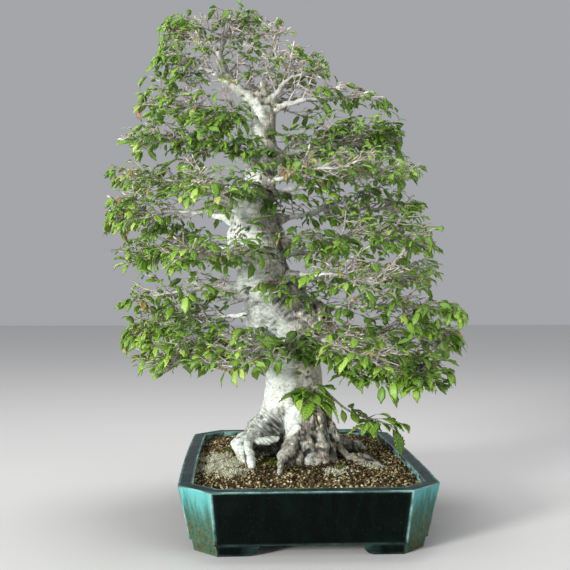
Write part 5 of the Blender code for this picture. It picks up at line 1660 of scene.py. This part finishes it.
class Spray:
    # One leafy spray under growth: points with what each carries, and the edges of its wood
    def __init__(self, seed, spec):
        self.spec = spec
        self.picks = random.Random(seed)
        self.points, self.links = [], []
        self.leafCount = 0
        self.leafChance = 1.0
        self.leafScale = 1.0

    def point(self, place, kind, girth, turn=(0, 0, 0), size=1.0, tone=0.5, shape=0):
        self.points.append((place, kind, girth, tuple(turn), size, tone, shape))

    def wood(self, points, radii):
        first = len(self.points)
        for place, radius in zip(points, radii):
            self.point(place, 0, radius)
        self.links += [(here, here + 1) for here in range(first, len(self.points) - 1)]

    def swing(self, low, high):
        return math.radians(self.picks.uniform(low, high))

    def path(self, start, yaw, pitch, length, steps, wild=1.0, rising=0.0):
        points = [start]
        for _ in range(steps):
            yaw += self.swing(-11, 11) * wild
            pitch += self.swing(-9, 9) * wild + rising
            points.append(points[-1] + heading(yaw, pitch) * length / steps)
        return points, yaw, pitch

    def toneAt(self, place):
        if self.picks.random() < self.spec["bronzeShare"] + (0.10 if place.x < -0.24 else 0.0):
            return self.picks.uniform(0.90, 1.0)
        outer = min(1.0, Vector((place.x + 0.03, place.y * 1.1, 0)).length / 0.26)
        return min(0.86, max(0.05, 0.26 + 0.36 * outer + self.picks.uniform(-0.22, 0.26)))

    def cluster(self, place, yaw, pitch, count, tone, scale=1.0):
        spec, picks = self.spec, self.picks
        spread = {1: (0,), 2: (-24, 26), 3: (-46, 2, 44), 4: (-62, -20, 22, 60), 5: (-75, -38, 2, 40, 74)}[count]
        for swing in spread:
            turn = yaw + math.radians(swing + picks.uniform(-13, 13))
            droop = self.swing(-24, 36) - pitch * 0.35
            roll = self.swing(-34, 34)
            size = (spec["leafSmall"] + spec["leafRange"] * picks.random() ** 1.5) * scale * self.leafScale
            way = heading(turn, -droop)
            if not isInside(place + way * leafSpec["blade"] * size, 0.003):
                droop += 0.5
                if not isInside(place + heading(turn, -droop) * leafSpec["blade"] * size * 0.8, 0.003):
                    continue
            shade = min(1.0, max(0.0, tone + picks.uniform(-0.14, 0.14)))
            shape = picks.choice((0, 0, 1, 1, 2, 3, 4, 4, 5)) if shade < 0.9 else picks.choice((2, 3, 5, 5))
            if spec["leafSmall"] > 1.0:
                shape = picks.choice(bigLeaves)
            turned = (Matrix.Rotation(bearing(heading(turn, 0)), 4, "Z") @ Matrix.Rotation(droop, 4, "Y")
                      @ Matrix.Rotation(roll, 4, "X")).to_euler()
            self.point(place + -way * 0.0006, 1, 0.0, turned, size * (0.8 if shape == 5 else 1.0), shade, shape)
            self.leafCount += 1

    def ending(self, place, yaw, pitch, leaves, budSizes):
        # A cluster of leaves, or a bud
        if leaves:
            self.cluster(place, yaw, pitch, leaves, self.toneAt(place))
        else:
            turn = heading(yaw, pitch).to_track_quat("X", "Z").to_euler()
            size = self.spec["budLong"] * self.picks.uniform(*budSizes)
            self.point(place, 2, 0.0, turn, size, self.picks.random())

    def twig(self, start, yaw, pitch, length, leaves):
        spec, picks = self.spec, self.picks
        points, endYaw, endPitch = self.path(start, yaw, pitch, length, 2, 1.3)
        end = points[-1]
        if not isInside(end):
            return
        self.wood(points, taper(spec["twigGirth"], spec["endGirth"], len(points)))
        self.ending(end, endYaw, endPitch, leaves, (0.7, 1.2))
        # Short spurs, mostly bare
        for share in (0.45, 0.8):
            if picks.random() < spec["spurChance"]:
                spot = points[0].lerp(end, share)
                way = heading(endYaw + math.radians(picks.choice((-1, 1)) * picks.uniform(35, 75)),
                              self.swing(-10, 60)) * picks.uniform(0.005, 0.011)
                if isInside(spot + way):
                    self.wood([spot, spot + way * 0.5 + Vector((0, 0, 0.0006)), spot + way],
                              (spec["twigGirth"] * 0.8, spec["endGirth"], spec["endGirth"] * 0.8))

    def side(self, start, yaw, pitch, length, leafy=True):
        # A side shoot with its twigs
        spec, picks = self.spec, self.picks
        points, endYaw, endPitch = self.path(start, yaw, pitch, length, spec["sideSteps"], 1.0, 0.01)
        while len(points) > 3 and not (isInside(points[-1], -0.012) and points[-1].z > spec["lowest"]):
            points.pop()
        if len(points) < 4:
            return
        girth = spec["sideGirth"] * (0.75 + 0.5 * length / spec["sideLong"]) * 0.85
        self.wood(points, taper(girth, spec["endGirth"] * 1.2, len(points)))
        leaves = picks.choice((2, 3, 3, 4)) if leafy and picks.random() < self.leafChance else 0
        self.ending(points[-1], endYaw, endPitch, leaves, (0.9, 1.3))
        side = picks.choice((-1, 1))
        for share in spec["twigShares"]:
            place = share * (len(points) - 1)
            i = min(int(place), len(points) - 2)
            side = -side
            turn = bearing(points[i + 1] - points[i]) + side * self.swing(32, 62)
            lift = self.swing(-24, 36)
            if leafy:
                leaves = picks.choice((0, 0, 1, 1, 2, 2) if share < 0.45 else (1, 1, 2, 2, 2, 3))
            else:
                leaves = picks.choice((0, 0, 0, 1))
            if picks.random() > self.leafChance:
                leaves = 0
            self.twig(points[i].lerp(points[i + 1], place - i), turn, lift, picks.uniform(0.010, 0.026), leaves)


def growSpray(number, name, spec):
    spray = Spray(spec["seed"] + 17 * number, spec)
    picks = spray.picks
    points, radii = limbCourses[name]
    last = len(points) - 1
    start = int(limbSpec["bareShare"] * last)
    spray.wood(points[start:], radii[start:])
    spray.cluster(points[-1], bearing(points[-1] - points[-4]), 0.0, 5, spray.toneAt(points[-1]))
    spray.leafScale = leafScales.get(name, 1.0)
    side = 1 if number % 2 else -1
    inner, outer = leafiness.get(name, (1.0, 1.001))
    lush = (inner + outer) / 2
    # A bare limb keeps most of its twigs and loses leaves
    woody = lush if lush > 1 else 0.5 + 0.5 * lush
    chance = min(1.0, lush / woody)
    high = points[0].z > spec["highFrom"]
    length = (points[-1] - points[0]).length
    total = round(spec["sides"] * woody * min(1.05, max(0.6, length / 0.20)))
    first = 0.08 if high else 0.31 if name.startswith("left") else 0.26
    for k in range(total):
        t = (k + 0.5) / total
        if abs(outer - inner) > 0.01:
            t = (math.sqrt(inner ** 2 + 2 * (outer - inner) * lush * t) - inner) / (outer - inner)
        share = first + (0.97 - first) * t + picks.uniform(-0.02, 0.02)
        spray.leafChance = chance * (min(1.0, 0.25 + 1.3 * t) if high else 1.0)
        i = min(int(share * last), last - 1)
        reach = spec["sideLong"] + (spec["sideShort"] - spec["sideLong"]) * t
        if share < 0.34 and not high:
            reach *= 0.60
        side = -side
        # Turn from the limb and pitch in degrees, length, and what lifts them all
        if high and k % 2:
            turns, pitches, shorter, lift = (15, 60), (25, 68), 0.85, 0
        elif k % 4 == 2:
            turns, pitches, shorter, lift = (10, 35), (30, 55), 0.62, 0
        elif k % 6 == 3:
            turns, pitches, shorter, lift = (20, 50), (-36, -18), 0.6, 0
        else:
            turns, pitches, shorter, lift = (36, 66), (-10, 22), 1.0, shootLifts.get(name, 0)
        yaw = bearing(points[i + 1] - points[i]) + side * spray.swing(*turns)
        pitch = math.radians(picks.uniform(*pitches) + lift)
        spray.side(points[i], yaw, pitch, reach * shorter * picks.uniform(0.85, 1.15))
    # Short leafy shoots close to the trunk, which lean towards the shown side over its face
    spray.leafChance = 1.0
    count, lowest, highest, nearest, turned = coverShoots.get(name, (0, 0, 0, 0, 0))
    for k in range(count):
        i = int(picks.uniform(nearest, nearest + (0.16 if k < 4 else 0.30)) * last)
        yaw = math.radians(turned - 90 + picks.uniform(-60, 60))
        spray.side(points[i], yaw, spray.swing(lowest, highest), picks.uniform(0.036, 0.062))
    # Upright shoots off the leader, few of them leafy
    if name == "crown_01":
        leader = courseThrough(leaderPath, 12)[0]
        spray.leafChance = 0.38
        for k in range(spec["leaderShoots"]):
            yaw = spray.swing(-80, 80)
            spray.side(leader[1 + k % 10], yaw, spray.swing(22, 75), picks.uniform(0.045, 0.090))
        spray.leafChance = 1.0
    # Long thin twigs with buds only, which reach past the leaves
    for _ in range(spec["bareTwigs"]):
        i = int(picks.uniform(0.40, 0.97) * last)
        yaw = bearing(points[min(i + 1, last)] - points[i - 1]) + spray.swing(-50, 50)
        spray.side(points[i], yaw, spray.swing(0, 40), picks.uniform(0.035, 0.060), False)
    return spray


def growShoot(rows, seed, leafScale, spec):
    # A thin shoot with larger hanging leaves
    spray = Spray(seed, dict(spec, leafSmall=1.02, leafRange=0.42))
    spray.leafScale = leafScale
    points, radii = courseThrough(rows, 17)
    spray.wood([points[0] - (points[1] - points[0]) * 2, *points], [radii[0], *radii])
    spray.cluster(points[-1], bearing(points[-1] - points[-3]), -0.35, 3, 0.66)
    # Share of the way, turn in degrees, pitch, leaves, their scale
    for share, swing, pitch, leaves, scale in ((0.36, -70, -0.9, 1, 0.62), (0.42, -30, -0.4, 2, 0.60),
                                               (0.56, 80, 0.3, 2, 0.62), (0.70, -80, -0.2, 2, 0.70),
                                               (0.84, -70, 0.1, 2, 0.84), (0.50, 60, 0.1, 2, 0.66),
                                               (0.60, -35, -0.5, 2, 0.74), (0.66, -55, -0.2, 2, 0.80),
                                               (0.74, 15, 1.0, 1, 0.60), (0.80, -20, 0.3, 3, 0.84),
                                               (0.88, 160, 0.2, 2, 1.0)):
        i = int(share * 16)
        turn = bearing(points[i + 1] - points[i]) + math.radians(swing)
        way = spray.path(points[i], turn, pitch * 0.5, 0.013, 2)[0]
        spray.wood(way, taper(0.0009, 0.0006, 3))
        spray.cluster(way[-1], turn, pitch, leaves, 0.55 + spray.picks.uniform(-0.15, 0.2), scale)
    return spray


def pieceFromSpray(name, node, spray, tree, values):
    places, *columns = zip(*spray.points)
    mesh = bpy.data.meshes.new(name)
    mesh.from_pydata(places, spray.links, [])
    mesh.update()
    labels = (("kind", "INT"), ("girth", "FLOAT"), ("turn", "FLOAT_VECTOR"), ("size", "FLOAT"), ("tone", "FLOAT"),
              ("shape", "INT"))
    for (label, kind), column in zip(labels, columns):
        setData(mesh, label, column, kind)
    piece = addPiece(name, mesh)
    tree.run(piece, values)
    for label in ("kind", "shape", "size", "turn"):
        spare = piece.data.attributes.get(label)
        if spare:
            piece.data.attributes.remove(spare)
    finishPiece(piece, node)
    return piece


def makeFoliage(spec):
    leaves = [leafMesh(f"leafShape{k}", form, leafSpec, leafSpec["bigRows" if k in bigLeaves else "rows"])
              for k, form in enumerate(leafForms)]
    values = {
        "Leaf Shapes": shelfOf("leafShape", leaves), "Bud Shapes": shelfOf("budShape", [budMesh("budShape0")]),
        "Twig Sides": spec["twigSides"], "Wood Finish": limbBark, "Leaf Finish": leafMaterial(),
        "Bud Finish": budMaterial(),
    }
    tree = foliageTree()
    sprays = {name: growSpray(number, name, spec) for number, name in enumerate(allLimbs)}
    sprays["low_shoot"] = growShoot(lowShoot, 4009, 1.12, spec)
    sprays["face_sprout"] = growShoot(faceSprout, 4011, 1.15, spec)
    triangles = 0
    for name, spray in sprays.items():
        title = "".join(word.capitalize() for word in name.split("_"))
        triangles += triangleCount(pieceFromSpray("spray" + title, name, spray, tree, values))
    print("foliage:", sum(spray.leafCount for spray in sprays.values()), "leaves,", triangles, "triangles")

    # The limbs' inner parts, from inside the collars to where the sprays take over
    wood = Spray(77, spec)
    for name, (points, radii) in limbCourses.items():
        length = (points[-1] - points[0]).length
        first = int(limbFoot(name)[1] * 0.6 / length * (len(points) - 1))
        last = int(limbSpec["bareShare"] * (len(points) - 1)) + 1
        wood.wood(points[first:last], radii[first:last])
    values["Twig Sides"] = limbSpec["sides"]
    piece = pieceFromSpray("bareLimbs", "trunk", wood, tree, values)
    print("bare limbs:", len(piece.data.polygons), "faces")


makeFoliage(spraySpec)

print("packed box", cadBox)
